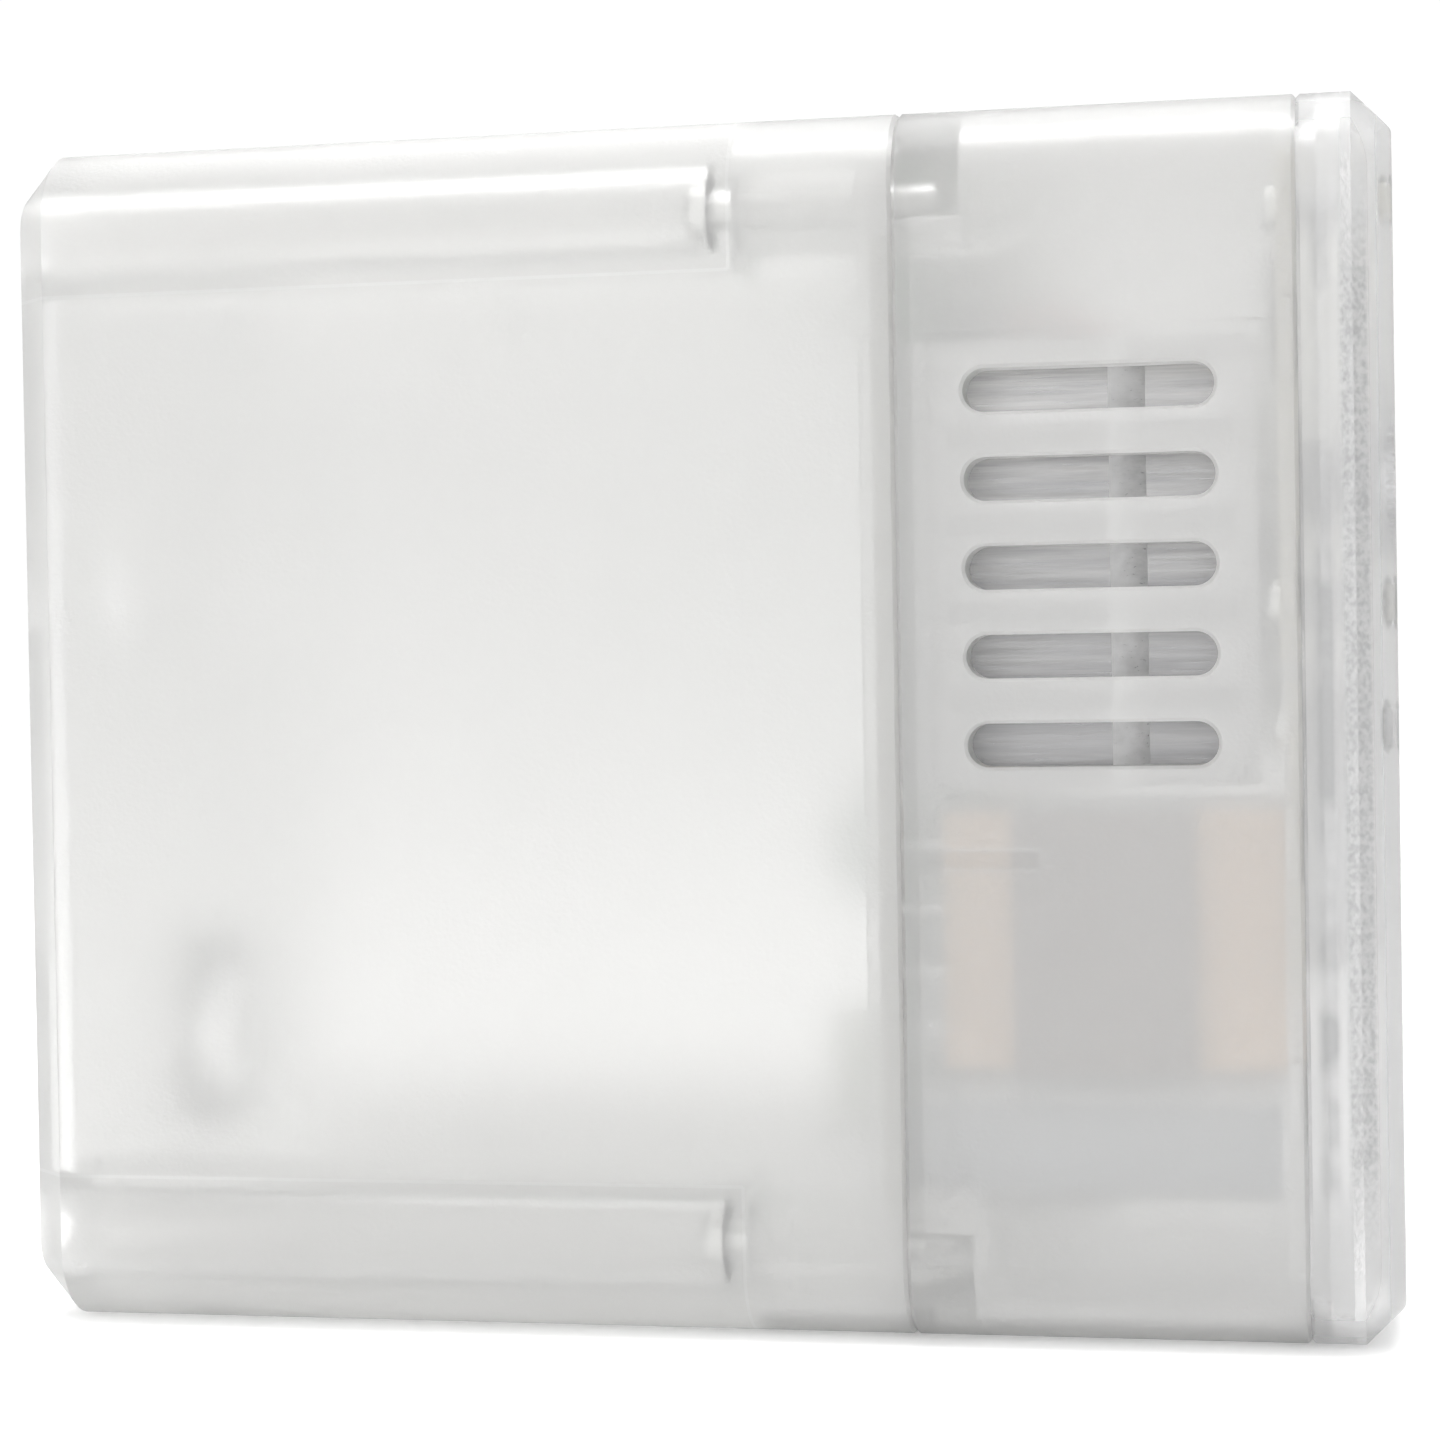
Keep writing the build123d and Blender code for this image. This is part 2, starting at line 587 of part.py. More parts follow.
REGULATOR_X = B + 0.9
REGULATOR_BODY = 8.6
REGULATOR_TAB = 1.3          # thickness of the tab
REGULATOR_LENGTH = 14.4      # body and tab
REGULATOR_Z = (55.0, 65.0)
REGULATOR_HOLE = (B + 12.5, 60.0)
LEAD_PITCH = 2.54


def regulator_body():
    """Regulator's plastic body and tab, bolted to the right vent baffle, which is its heat sink."""
    face = baffle_face(-1)[1]
    body_y = (face + REGULATOR_TAB, face + 4.4)
    body = block((REGULATOR_X, REGULATOR_X + REGULATOR_BODY), body_y, REGULATOR_Z)
    body = fillet(body.edges().filter_by(Axis.Y), 0.5)
    body += block((REGULATOR_X, REGULATOR_X + REGULATOR_LENGTH), (face, face + REGULATOR_TAB), REGULATOR_Z)
    body -= rod("Y", 1.8, (face - 1, face + 6), *REGULATOR_HOLE)
    return mirror(body, Plane.XZ)


def regulator_leads():
    face = baffle_face(-1)[1]
    lead_y = (face + 1.6, face + 2.1)
    leads = []
    for step in (-1, 0, 1):
        z = sum(REGULATOR_Z) / 2 + step * LEAD_PITCH
        lead = block((MAIN_FRONT, REGULATOR_X), lead_y, (z - 0.4, z + 0.4))
        leads.append(mirror(lead, Plane.XZ))
    return leads


# ---- vent baffles -------------------------------------------------------------------------------
BAFFLE_T = 1.0
BAFFLE_STEP_X = B + 15.9     # the sheet is joggled inward in front of this
BAFFLE_JOG = 1.0
BAFFLE_JOG_LENGTH = 2.8


def baffle_face(sign):
    """(outer, inner) faces of a baffle's rear stretch, as Y."""
    outer = sign * (SIDE - 6.2)
    return outer, outer - sign * BAFFLE_T


def vent_baffle(sign):
    """Brushed sheet behind the slots. It is folded round its three free edges."""
    outer, inner = baffle_face(sign)
    low_x, high_x = MAIN_FRONT, C - 3.4
    z = (43.0, 78.0)
    fold = 5.0
    jog = sign * BAFFLE_JOG
    step_end = BAFFLE_STEP_X + BAFFLE_JOG_LENGTH
    profile = Polyline((low_x, outer), (BAFFLE_STEP_X, outer), (step_end, outer - jog), (high_x, outer - jog),
                       (high_x, inner - jog), (step_end, inner - jog), (BAFFLE_STEP_X, inner), (low_x, inner),
                       close=True)
    sheet = Pos(0, 0, z[0]) * extrude(make_face(profile), z[1] - z[0])
    for end in ((z[0], z[0] + BAFFLE_T), (z[1] - BAFFLE_T, z[1])):
        sheet += block((low_x, BAFFLE_STEP_X), ordered(outer, outer - sign * fold), end)
    if sign > 0:
        sheet -= rod("Y", 1.5, (0, SIDE), *REGULATOR_HOLE)
    return sheet


def regulator_bolt():
    """Bolt through the right baffle and the regulator's tab, with its nut."""
    outer, inner = baffle_face(-1)
    x, z = REGULATOR_HOLE
    bolt = rod("Y", 1.4, (outer, inner + 4.2), x, z)
    bolt += rod("Y", 2.6, (outer - 1.8, outer), x, z)
    nut = Pos(x, inner + 2.5, z) * Rot(90, 0, 0) * extrude(RegularPolygon(2.8, 6), 1.2, both=True)
    return mirror(bolt + nut, Plane.XZ)


# ---- siren, fuse and headers --------------------------------------------------------------------
def siren_case():
    """Round cup over the sounding disc, with a hole for the sound."""
    wall = 1.2
    sound_hole_r = 2.0
    foot = MAIN_FRONT + 0.2
    top = MAIN_FRONT + SIREN_HEIGHT
    case = rod("X", SIREN_R, (foot, top), *SIREN)
    case = fillet(end_edges(case, True), 1.0)
    case -= rod("X", SIREN_R - wall, (foot, top - wall), *SIREN)
    return case - rod("X", sound_hole_r, (top - 2, top + 1), *SIREN)


def siren_disc():
    """Brass plate that flexes, with a thinner ceramic disc on it."""
    low = MAIN_FRONT + 3.0
    brass = 0.4
    ceramic = 0.25
    ceramic_r = 7.5
    disc = rod("X", SIREN_R - 1.3, (low, low + brass), *SIREN)
    return disc + rod("X", ceramic_r, (low + brass, low + brass + ceramic), *SIREN)


FUSE = (B + 5.6, 28.0)       # X and Y of the fuse, which lies along Z
FUSE_Z = (20.0, 40.0)
FUSE_R = 2.6
CAP_LENGTH = 5.0


def fuse_parts():
    x, y = FUSE
    low, high = FUSE_Z
    bare = (low + CAP_LENGTH, high - CAP_LENGTH)
    glass = rod("Z", FUSE_R - 0.15, bare, x, y) - rod("Z", FUSE_R - 0.8, bare, x, y)
    caps = [rod("Z", FUSE_R, span, x, y) for span in ((low, bare[0]), (bare[1], high))]
    return glass, caps


def fuse_clips():
    """Spring clips that grip the fuse's end caps."""
    x, y = FUSE
    clips = []
    for low in (FUSE_Z[0] + 0.5, FUSE_Z[1] - CAP_LENGTH + 0.5):
        span = (low, low + CAP_LENGTH - 1.0)
        clip = rod("Z", FUSE_R + 0.5, span, x, y) - rod("Z", FUSE_R, span, x, y)
        clip -= block((x + 1.6, x + 5), (y - 5, y + 5), span)
        clip += block((MAIN_FRONT, x - 2.7), (y - 1.0, y + 1.0), span)
        clips.append(clip)
    return clips


def mains_header():
    """Two-pin supply header on the back of the main board, open to the rear."""
    x = (MAIN_REAR - 9.0, MAIN_REAR)
    shell = block(x, (-5.0, 5.0), (13.0, 22.0))
    shell = fillet(shell.edges().filter_by(Axis.X), 0.6)
    shell -= block((x[0] - 1, x[1] - 1.5), (-4.0, 4.0), (14.0, 21.0))
    return shell


def mains_header_pins():
    return [rod("X", 0.6, (MAIN_REAR - 7.5, MAIN_REAR - 1.5), y, 17.5) for y in (-2.0, 2.0)]


# ---- terminal block -----------------------------------------------------------------------------
TERMINAL_TOP = MAIN_REAR - TERMINAL_HEIGHT      # its screw face, towards the rear
CAGE_SCREW_Z = 36.0
CAGE_TOP_X = MAIN_REAR - 6.6                    # rear face of a cage at rest, with its clamp open
CAGE_LENGTH = 5.2
CAGE_HALF_Y = 1.9
CAGE_HALF_Z = 2.6
CAGE_WALL = 0.7
HEAD_SEAT_X = TERMINAL_TOP + 1.7                # a screw head's underside


def terminal_block():
    y = (TERMINAL_Y, TERMINAL_Y + WAYS * WAY_PITCH)
    body = block((TERMINAL_TOP, MAIN_REAR), y, TERMINAL_Z)
    bevel = body.edges().filter_by(Axis.Y).group_by(Axis.X)[0]
    body = chamfer(bevel, 1.0)
    play = 0.12
    for way in way_centres():
        room_y = (way - CAGE_HALF_Y - play, way + CAGE_HALF_Y + play)
        room_x = (CAGE_TOP_X - CAGE_TRAVEL - 0.2, CAGE_TOP_X + CAGE_LENGTH + 0.2)
        room_z = (CAGE_SCREW_Z - CAGE_HALF_Z - play, CAGE_SCREW_Z + CAGE_HALF_Z + play)
        body -= block(room_x, room_y, room_z)
        body -= rod("X", TERMINAL_HEAD_R + 0.1, (TERMINAL_TOP - 1, HEAD_SEAT_X), way, CAGE_SCREW_Z)
        body -= rod("X", TERMINAL_SCREW_R + 0.06, (HEAD_SEAT_X - 0.1, room_x[0] + 0.1), way, CAGE_SCREW_Z)
        mouth_x = (CAGE_TOP_X + CAGE_WALL, CAGE_TOP_X + CAGE_LENGTH - CAGE_WALL)
        body -= block(mouth_x, (way - 1.3, way + 1.3), (TERMINAL_Z[0] - 1, CAGE_SCREW_Z))
    for (y_pin, z_pin) in terminal_pin_places():
        body -= rod("X", PIN_R + 0.02, (CAGE_TOP_X + CAGE_LENGTH, MAIN_REAR), y_pin, z_pin)
        body -= block((TERMINAL_BAR_X[0], TERMINAL_BAR_X[1] + 3.2), (y_pin - 0.85, y_pin + 0.85), (38.0, 38.9))
    return body


TERMINAL_BAR_X = (MAIN_REAR - 4.8, MAIN_REAR - 4.1)


def terminal_pins():
    """Fixed current bar in each way, which the cage pulls the wire against, and its solder pin."""
    bars = []
    for y, z in terminal_pin_places():
        bar = block(TERMINAL_BAR_X, (y - 0.8, y + 0.8), (CAGE_SCREW_Z - 1.6, z + 0.4))
        bar += block((TERMINAL_BAR_X[0], TERMINAL_BAR_X[1] + 3.0), (y - 0.8, y + 0.8), (z - 0.35, z + 0.4))
        bar += rod("X", PIN_R, (TERMINAL_BAR_X[1] + 2.0, MAIN_FRONT + PIN_OUT), y, z)
        bars.append(bar)
    return bars


def terminal_screw(way):
    screw = rod("X", TERMINAL_HEAD_R, (HEAD_SEAT_X - 1.3, HEAD_SEAT_X), way, CAGE_SCREW_Z)
    screw += rod("X", TERMINAL_SCREW_R, (HEAD_SEAT_X, CAGE_TOP_X + CAGE_WALL + 0.4), way, CAGE_SCREW_Z)
    slot_x = (HEAD_SEAT_X - 2.0, HEAD_SEAT_X - 0.7)
    return screw - block(slot_x, (way - 2, way + 2), (CAGE_SCREW_Z - 0.25, CAGE_SCREW_Z + 0.25))


def terminal_cage(way):
    """Square loop that a wire enters from below; its rear wall is threaded on the screw."""
    x = (CAGE_TOP_X, CAGE_TOP_X + CAGE_LENGTH)
    y = (way - CAGE_HALF_Y, way + CAGE_HALF_Y)
    z = (CAGE_SCREW_Z - CAGE_HALF_Z, CAGE_SCREW_Z + 1.4)
    cage = block(x, y, z)
    cage -= block((x[0] + CAGE_WALL, x[1] - CAGE_WALL), (way - 1.3, way + 1.3), (z[0] - 1, z[1] + 1))
    return cage - rod("X", TERMINAL_SCREW_R + 0.05, (x[0] - 1, x[0] + CAGE_WALL), way, CAGE_SCREW_Z)


# ---- front board --------------------------------------------------------------------------------
def front_circuit_board():
    y = (-FRONT_BOARD_HALF_WIDTH, FRONT_BOARD_HALF_WIDTH)
    board = block((FRONT_BOARD_REAR, C), y, FRONT_BOARD_Z)
    top = board.edges().filter_by(Axis.X).group_by(Axis.Z)[-1]
    board = fillet(top, 3.0)
    for y, z in cover_bosses()[0]:
        board -= rod("X", 1.0, (FRONT_BOARD_REAR, C), y, z)
    return board


def strobe_circuit_board():
    y = (-FRONT_BOARD_HALF_WIDTH, FRONT_BOARD_HALF_WIDTH)
    board = block((C - STROBE_BOARD, C), y, STROBE_Z)
    for y, z in cover_bosses()[1]:
        board -= rod("X", 1.0, (C - STROBE_BOARD, C), y, z)
    return board


def cover_board_screws():
    front, strobe = cover_bosses()
    small = [pan_screw(FRONT_BOARD_REAR, 4.6, y, z, 0.85, 1.7, 1.1) for y, z in front]
    return small + [pan_screw(C - STROBE_BOARD, 4.2, y, z, 0.85, 1.7, 1.1) for y, z in strobe]


def led_places():
    z = sum(STROBE_Z) / 2
    return [((i - (LEDS - 1) / 2) * LED_PITCH, z) for i in range(LEDS)]


def strobe_reflector():
    """Bright tray with one cone-shaped cup for each lamp."""
    depth = 3.6
    tray = block((C, C + depth), (-29.0, 29.0), (STROBE_Z[0] + 1.5, STROBE_Z[1] - 0.5))
    tray = fillet(tray.edges().filter_by(Axis.X), 3.0)
    for y, z in led_places():
        cup = Pos(C + depth / 2, y, z) * Rot(0, 90, 0) * Cone(2.4, 4.4, depth)
        tray -= cup
    return tray


def strobe_leds():
    lamps = []
    for y, z in led_places():
        lamp = block((C, C + 0.8), (y - 1.4, y + 1.4), (z - 1.4, z + 1.4))
        dome = Pos(C + 0.8, y, z) * Sphere(1.2)
        lamps.append(lamp + (dome & block((C + 0.8, C + 3), (y - 2, y + 2), (z - 2, z + 2))))
    return lamps


STATUS_LEDS = ((6.0, 60.0), (12.0, 60.0), (18.0, 60.0))


def status_leds():
    """Power, learn and door lamps."""
    lamps = []
    for y, z in STATUS_LEDS:
        lamp = rod("X", 1.5, (C, C + 1.6), y, z)
        lamps.append(fillet(end_edges(lamp, True), 0.9))
    return lamps


def radio_board():
    return block((FRONT_BOARD_REAR - 0.8, FRONT_BOARD_REAR), (4.0, 22.0), (66.0, 90.0))


def radio_shield():
    x = (FRONT_BOARD_REAR - 3.2, FRONT_BOARD_REAR - 0.8)
    can = block(x, (5.2, 20.8), (67.2, 83.0))
    can = fillet(can.edges().filter_by(Axis.X) + end_edges(can, False), 0.4)
    return can - block((x[0] + 0.3, x[1]), (5.5, 20.5), (67.5, 82.7))


def controller_chip():
    x = (FRONT_BOARD_REAR - 1.3, FRONT_BOARD_REAR - 0.2)
    body = block(x, (-19.0, -10.0), (76.0, 85.0))
    return chamfer(end_edges(body, False), 0.25)


RIBBON_Y = (-7.0, 1.0)
RIBBON_MAIN_Z = 82.0
RIBBON_FRONT_Z = 62.0
RIBBON_SOCKET = 5.0


def ribbon_sockets():
    main = block((MAIN_FRONT, MAIN_FRONT + RIBBON_SOCKET), (RIBBON_Y[0] - 1, RIBBON_Y[1] + 1),
                 (RIBBON_MAIN_Z - 2, RIBBON_MAIN_Z + 2))
    front = block((FRONT_BOARD_REAR - RIBBON_SOCKET, FRONT_BOARD_REAR), (RIBBON_Y[0] - 1, RIBBON_Y[1] + 1),
                  (RIBBON_FRONT_Z - 2, RIBBON_FRONT_Z + 2))
    return [main, front]


def ribbon_cable():
    """Flat cable in an S between the two sockets, with rounded bends."""
    start = MAIN_FRONT + RIBBON_SOCKET
    end = FRONT_BOARD_REAR - RIBBON_SOCKET
    middle_x = (start + end) / 2
    thick = 0.9
    turn_r = 4.0
    route = FilletPolyline((start, 0, RIBBON_MAIN_Z), (middle_x, 0, RIBBON_MAIN_Z),
                           (middle_x, 0, RIBBON_FRONT_Z), (end, 0, RIBBON_FRONT_Z), radius=turn_r)
    band = Plane(origin=(start, sum(RIBBON_Y) / 2, RIBBON_MAIN_Z), x_dir=(0, 1, 0), z_dir=(1, 0, 0))
    outline = band * Rectangle(RIBBON_Y[1] - RIBBON_Y[0], thick)
    return sweep(outline, path=Pos(0, sum(RIBBON_Y) / 2, 0) * route)


# ---- learn button and switch --------------------------------------------------------------------
TACT_BODY = 2.6
TACT_STEM_TOP = C + 3.6


def tact_switch_body():
    y, z = BUTTON
    body = block((C, C + TACT_BODY), (y - 3.0, y + 3.0), (z - 3.0, z + 3.0))
    body = fillet(body.edges().filter_by(Axis.X), 0.4)
    return body - rod("X", 1.75 + 0.06, (C + 0.8, C + TACT_BODY + 1), y, z)


def tact_switch_stem():
    return rod("X", 1.75, (C + 0.8 + BUTTON_TRAVEL + 0.05, TACT_STEM_TOP), *BUTTON)


def learn_button():
    flange = 1.0
    cap = rod("X", BUTTON_R, (TACT_STEM_TOP, FRONT - 0.1), *BUTTON)
    cap = fillet(end_edges(cap, True), 0.5)
    dish = Pos(FRONT + 14.6, *BUTTON) * Sphere(15.0)
    cap -= dish
    return cap + rod("X", BEZEL_R - 0.3, (TACT_STEM_TOP, TACT_STEM_TOP + flange), *BUTTON)


def button_bezel():
    ring = rod("X", BEZEL_R, (FRONT - WALL, FRONT), *BUTTON)
    return ring - rod("X", BUTTON_R + BUTTON_PLAY, (FRONT - WALL - 1, FRONT + 1), *BUTTON)


def slide_switch_body():
    y, z = SWITCH
    body = block((C, C + 2.4), (y - 3.0, y + 3.0), (z - 6.0, z + 6.0))
    return body - block((C + 1.2, C + 3), (y - 1.1, y + 1.1), (z - 2.7, z + 2.7))


def slide_switch_lever():
    y, z = SWITCH
    low = z - 2.6
    lever = block((C + 1.3, FRONT - 0.3), (y - 1.0, y + 1.0), (low, low + 2.6))
    top = lever.edges().filter_by(Axis.Y).group_by(Axis.X)[-1]
    return fillet(top, 0.4)


# ---- write every piece --------------------------------------------------------------------------
def all_pieces():
    glass, caps = fuse_parts()
    pieces = {
        "rear_housing": rear_housing(),
        "vent_housing": vent_housing(),
        "front_cover": front_cover(),
        "case_screws": case_screws(),
        "cable_grommet": cable_grommet(),
        "main_circuit_board": main_circuit_board(),
        "board_screws": board_screws(),
        "transformer_core": transformer_core(),
        "transformer_bobbin": transformer_bobbin(),
        "primary_winding": winding(True),
        "secondary_winding": winding(False),
        "transformer_pins": pins(transformer_pin_places(), TRANSFORMER_X[0]),
        "relay_base": relay_base(),
        "relay_cover": relay_cover(),
        "relay_yoke": relay_yoke(),
        "relay_coil": relay_coil(),
        "relay_armature": relay_armature(),
        "relay_contact_spring": relay_contact_spring(),
        "relay_fixed_contacts": relay_fixed_contacts(),
        "relay_pins": pins(relay_pin_places(), RELAY_BASE_TOP),
        "smoothing_capacitors": smoothing_capacitors(),
        "bridge_rectifier": bridge_rectifier(),
        "voltage_regulator": regulator_body(),
        "regulator_leads": regulator_leads(),
        "regulator_bolt": regulator_bolt(),
        "vent_baffle_left": vent_baffle(-1),
        "vent_baffle_right": vent_baffle(1),
        "siren_case": siren_case(),
        "siren_disc": siren_disc(),
        "fuse_glass": glass,
        "fuse_caps": caps,
        "fuse_clips": fuse_clips(),
        "mains_header": mains_header(),
        "mains_header_pins": mains_header_pins(),
        "terminal_block": terminal_block(),
        "terminal_pins": terminal_pins(),
        "front_circuit_board": front_circuit_board(),
        "strobe_circuit_board": strobe_circuit_board(),
        "cover_board_screws": cover_board_screws(),
        "strobe_reflector": strobe_reflector(),
        "strobe_leds": strobe_leds(),
        "status_leds": status_leds(),
        "radio_board": radio_board(),
        "radio_shield": radio_shield(),
        "controller_chip": controller_chip(),
        "ribbon_sockets": ribbon_sockets(),
        "ribbon_cable": ribbon_cable(),
        "tact_switch_body": tact_switch_body(),
        "tact_switch_stem": tact_switch_stem(),
        "learn_button": learn_button(),
        "button_bezel": button_bezel(),
        "slide_switch_body": slide_switch_body(),
        "slide_switch_lever": slide_switch_lever(),
    }
    for number, way in enumerate(way_centres(), 1):
        pieces[f"terminal_screw_{number}"] = terminal_screw(way)
        pieces[f"terminal_cage_{number}"] = terminal_cage(way)
    return pieces


os.makedirs("parts", exist_ok=True)
for node, shape in all_pieces().items():
    solids = Compound(children=shape) if isinstance(shape, list) else shape
    export_step(solids, f"parts/{node}.step")
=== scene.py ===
import json
import math
import random

import bmesh
import bpy
from mathutils import Matrix, Vector


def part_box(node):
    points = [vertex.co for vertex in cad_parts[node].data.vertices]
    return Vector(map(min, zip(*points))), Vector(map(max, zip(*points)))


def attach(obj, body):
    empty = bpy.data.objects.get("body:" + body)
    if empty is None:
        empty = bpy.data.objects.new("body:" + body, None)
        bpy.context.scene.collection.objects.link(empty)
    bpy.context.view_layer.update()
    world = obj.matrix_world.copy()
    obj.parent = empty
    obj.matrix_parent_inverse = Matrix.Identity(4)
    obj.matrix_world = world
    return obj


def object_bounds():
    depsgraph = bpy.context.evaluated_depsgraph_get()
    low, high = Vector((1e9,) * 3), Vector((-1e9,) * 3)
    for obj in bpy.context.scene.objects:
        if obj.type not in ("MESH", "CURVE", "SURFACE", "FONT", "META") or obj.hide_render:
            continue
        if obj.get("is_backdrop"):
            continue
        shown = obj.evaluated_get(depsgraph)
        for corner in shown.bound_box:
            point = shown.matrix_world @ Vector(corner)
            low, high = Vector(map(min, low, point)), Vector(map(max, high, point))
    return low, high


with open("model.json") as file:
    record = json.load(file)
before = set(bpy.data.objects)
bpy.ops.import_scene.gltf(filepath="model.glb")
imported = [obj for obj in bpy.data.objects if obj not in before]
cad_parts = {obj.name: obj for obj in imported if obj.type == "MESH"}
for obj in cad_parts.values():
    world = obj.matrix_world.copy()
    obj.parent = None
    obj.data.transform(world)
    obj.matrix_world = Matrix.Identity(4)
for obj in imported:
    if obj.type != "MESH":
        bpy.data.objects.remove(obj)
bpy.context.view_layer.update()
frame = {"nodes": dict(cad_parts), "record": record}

# A frosted garage door opener control unit on a pale floor. Lengths are in metres. X runs from the
# rear of the case to its clear front cover, Z is up, and the photographed side is the one at low Y.
MM = 0.001
nodes_of_cad = frame["nodes"]
rng = random.Random(7)


# ---- shader building ----------------------------------------------------------------------------
class Paint:
    """One node material. Its methods add nodes and return their output sockets."""

    def __init__(self, name, colour=(0.8, 0.8, 0.8), roughness=0.5, metallic=0.0):
        self.material = bpy.data.materials.new(name)
        self.material.use_nodes = True
        self.tree = self.material.node_tree
        self.shader = self.tree.nodes["Principled BSDF"]
        self.set("Base Color", (*colour, 1.0))
        self.set("Roughness", roughness)
        self.set("Metallic", metallic)
        self.place = self.tree.nodes.new("ShaderNodeTexCoord").outputs["Object"]

    def set(self, socket, value):
        self.shader.inputs[socket].default_value = value

    def link(self, source, socket):
        self.tree.links.new(source, self.shader.inputs[socket])

    def add(self, kind, inputs=None, **settings):
        node = self.tree.nodes.new("ShaderNode" + kind)
        for name, value in settings.items():
            setattr(node, name, value)
        for key, value in (inputs or {}).items():
            if isinstance(value, bpy.types.NodeSocket):
                self.tree.links.new(value, node.inputs[key])
            else:
                node.inputs[key].default_value = value
        return node

    def stretched(self, x, y, z):
        """Object coordinates scaled along each axis, for grain that runs one way."""
        return self.add("Mapping", {"Vector": self.place, "Scale": (x, y, z)}).outputs["Vector"]

    def noise(self, size, detail=3.0, rough=0.5, place=None):
        """Noise from 0 to 1 with features about size metres across."""
        inputs = {"Vector": place or self.place, "Scale": 1.0 / size, "Detail": detail, "Roughness": rough}
        return self.add("TexNoise", inputs).outputs["Fac"]

    def cells(self, size, place=None):
        inputs = {"Vector": place or self.place, "Scale": 1.0 / size}
        return self.add("TexVoronoi", inputs).outputs["Distance"]

    def math(self, operation, a, b=0.0, c=0.0, clamp=False):
        node = self.add("Math", {0: a, 1: b, 2: c}, operation=operation, use_clamp=clamp)
        return node.outputs[0]

    def remap(self, value, low, high, to_low, to_high):
        inputs = {"Value": value, "From Min": low, "From Max": high, "To Min": to_low, "To Max": to_high}
        return self.add("MapRange", inputs).outputs["Result"]

    def axis(self, letter):
        return self.add("SeparateXYZ", {"Vector": self.place}).outputs[letter]

    def mix(self, factor, a, b):
        """Colour mix; a and b are colours or sockets."""
        node = self.add("Mix", data_type="RGBA")
        for socket, value in ((node.inputs["Factor"], factor), (node.inputs[6], a), (node.inputs[7], b)):
            if isinstance(value, bpy.types.NodeSocket):
                self.tree.links.new(value, socket)
            else:
                socket.default_value = (*value, 1.0) if isinstance(value, tuple) else value
        return node.outputs[2]

    def waves(self, letter, pitch, sharpness=0.5):
        """Stripes across one axis, from 0 to 1, one every pitch metres."""
        phase = self.math("MULTIPLY", self.axis(letter), 2 * math.pi / pitch)
        return self.math("MULTIPLY_ADD", self.math("SINE", phase), sharpness, 0.5, clamp=True)

    def bump(self, height, distance, strength=1.0, below=None):
        inputs = {"Height": height, "Distance": distance, "Strength": strength}
        if below is not None:
            inputs["Normal"] = below
        normal = self.add("Bump", inputs).outputs["Normal"]
        self.link(normal, "Normal")
        return normal


def moulded(name, colour, roughness, grain=0.45 * MM, tone=0.06):
    """Moulded plastic: fine pebble, slight mottling and a soft change of gloss."""
    paint = Paint(name, colour, roughness)
    cloud = paint.noise(6 * MM, 4.0)
    darker = tuple(c * (1 - tone) for c in colour)
    lighter = tuple(min(1.0, c * (1 + tone)) for c in colour)
    paint.link(paint.mix(cloud, darker, lighter), "Base Color")
    gloss = paint.remap(paint.noise(1.6 * MM), 0.3, 0.7, roughness - 0.06, roughness + 0.08)
    paint.link(gloss, "Roughness")
    paint.bump(paint.noise(grain, 2.0), 0.02 * MM, 0.5)
    return paint


def metal(name, colour, roughness, grain=(1, 1, 1), tone=0.08):
    """Plated or brushed metal. A low grain scale on an axis draws the brushing out along it."""
    paint = Paint(name, colour, roughness, 1.0)
    streak = paint.noise(0.35 * MM, 4.0, 0.6, paint.stretched(*grain))
    cloud = paint.noise(4 * MM, 3.0)
    blend = paint.math("MULTIPLY_ADD", streak, 0.6, paint.math("MULTIPLY", cloud, 0.4))
    darker = tuple(c * (1 - tone) for c in colour)
    lighter = tuple(min(1.0, c * (1 + tone)) for c in colour)
    paint.link(paint.mix(blend, darker, lighter), "Base Color")
    paint.link(paint.remap(streak, 0.25, 0.75, roughness - 0.08, roughness + 0.1), "Roughness")
    paint.bump(streak, 0.012 * MM, 0.4)
    return paint


# ---- case materials -----------------------------------------------------------------------------
TUNNEL = 12.3 * MM           # corner screw tunnels of the rear housing, from the outside of the case
TUNNEL_LENGTH = 60.0 * MM
CASE_CLEAR = 0.73            # share of the light that the frosted plastic lets through
COVER_CLEAR = 0.74
COVER_SKIN = 1.2 * MM        # the cover's inner faces lie deeper than this
COLUMN = (2.2, 2.7, 3.8, 4.2)       # mm behind the cover's front: the column of painted dark reflection fades in and out
BLOTCHES = (4.4, 4.9, 5.8, 6.5)     # mm behind the cover's front: so do the grey blotches of painted shade


def frosted_case():
    """Milky moulded plastic: part scattering, part rough transmission, with a fine pebble."""
    colour = (0.89, 0.888, 0.88)
    paint = Paint("frosted_case", colour, 0.32)
    paint.set("IOR", 1.3)
    paint.set("Transmission Weight", CASE_CLEAR)
    cloud = paint.noise(22 * MM, 2.0)
    lighter = tuple(min(1.0, c * 1.015) for c in colour)
    darker = tuple(c * 0.985 for c in colour)
    tone = paint.mix(cloud, darker, lighter)
    # mixes painted pale highlight lines along the tunnel edges into the colour
    paint.link(paint.mix(tunnel_edge_highlights(paint), tone, (0.97, 0.97, 0.965)), "Base Color")
    pits = paint.math("MULTIPLY", paint.cells(0.5 * MM), 0.4)
    pebble = paint.math("ADD", paint.noise(0.32 * MM, 2.0), pits)
    paint.bump(pebble, 0.03 * MM, 0.7)
    return paint


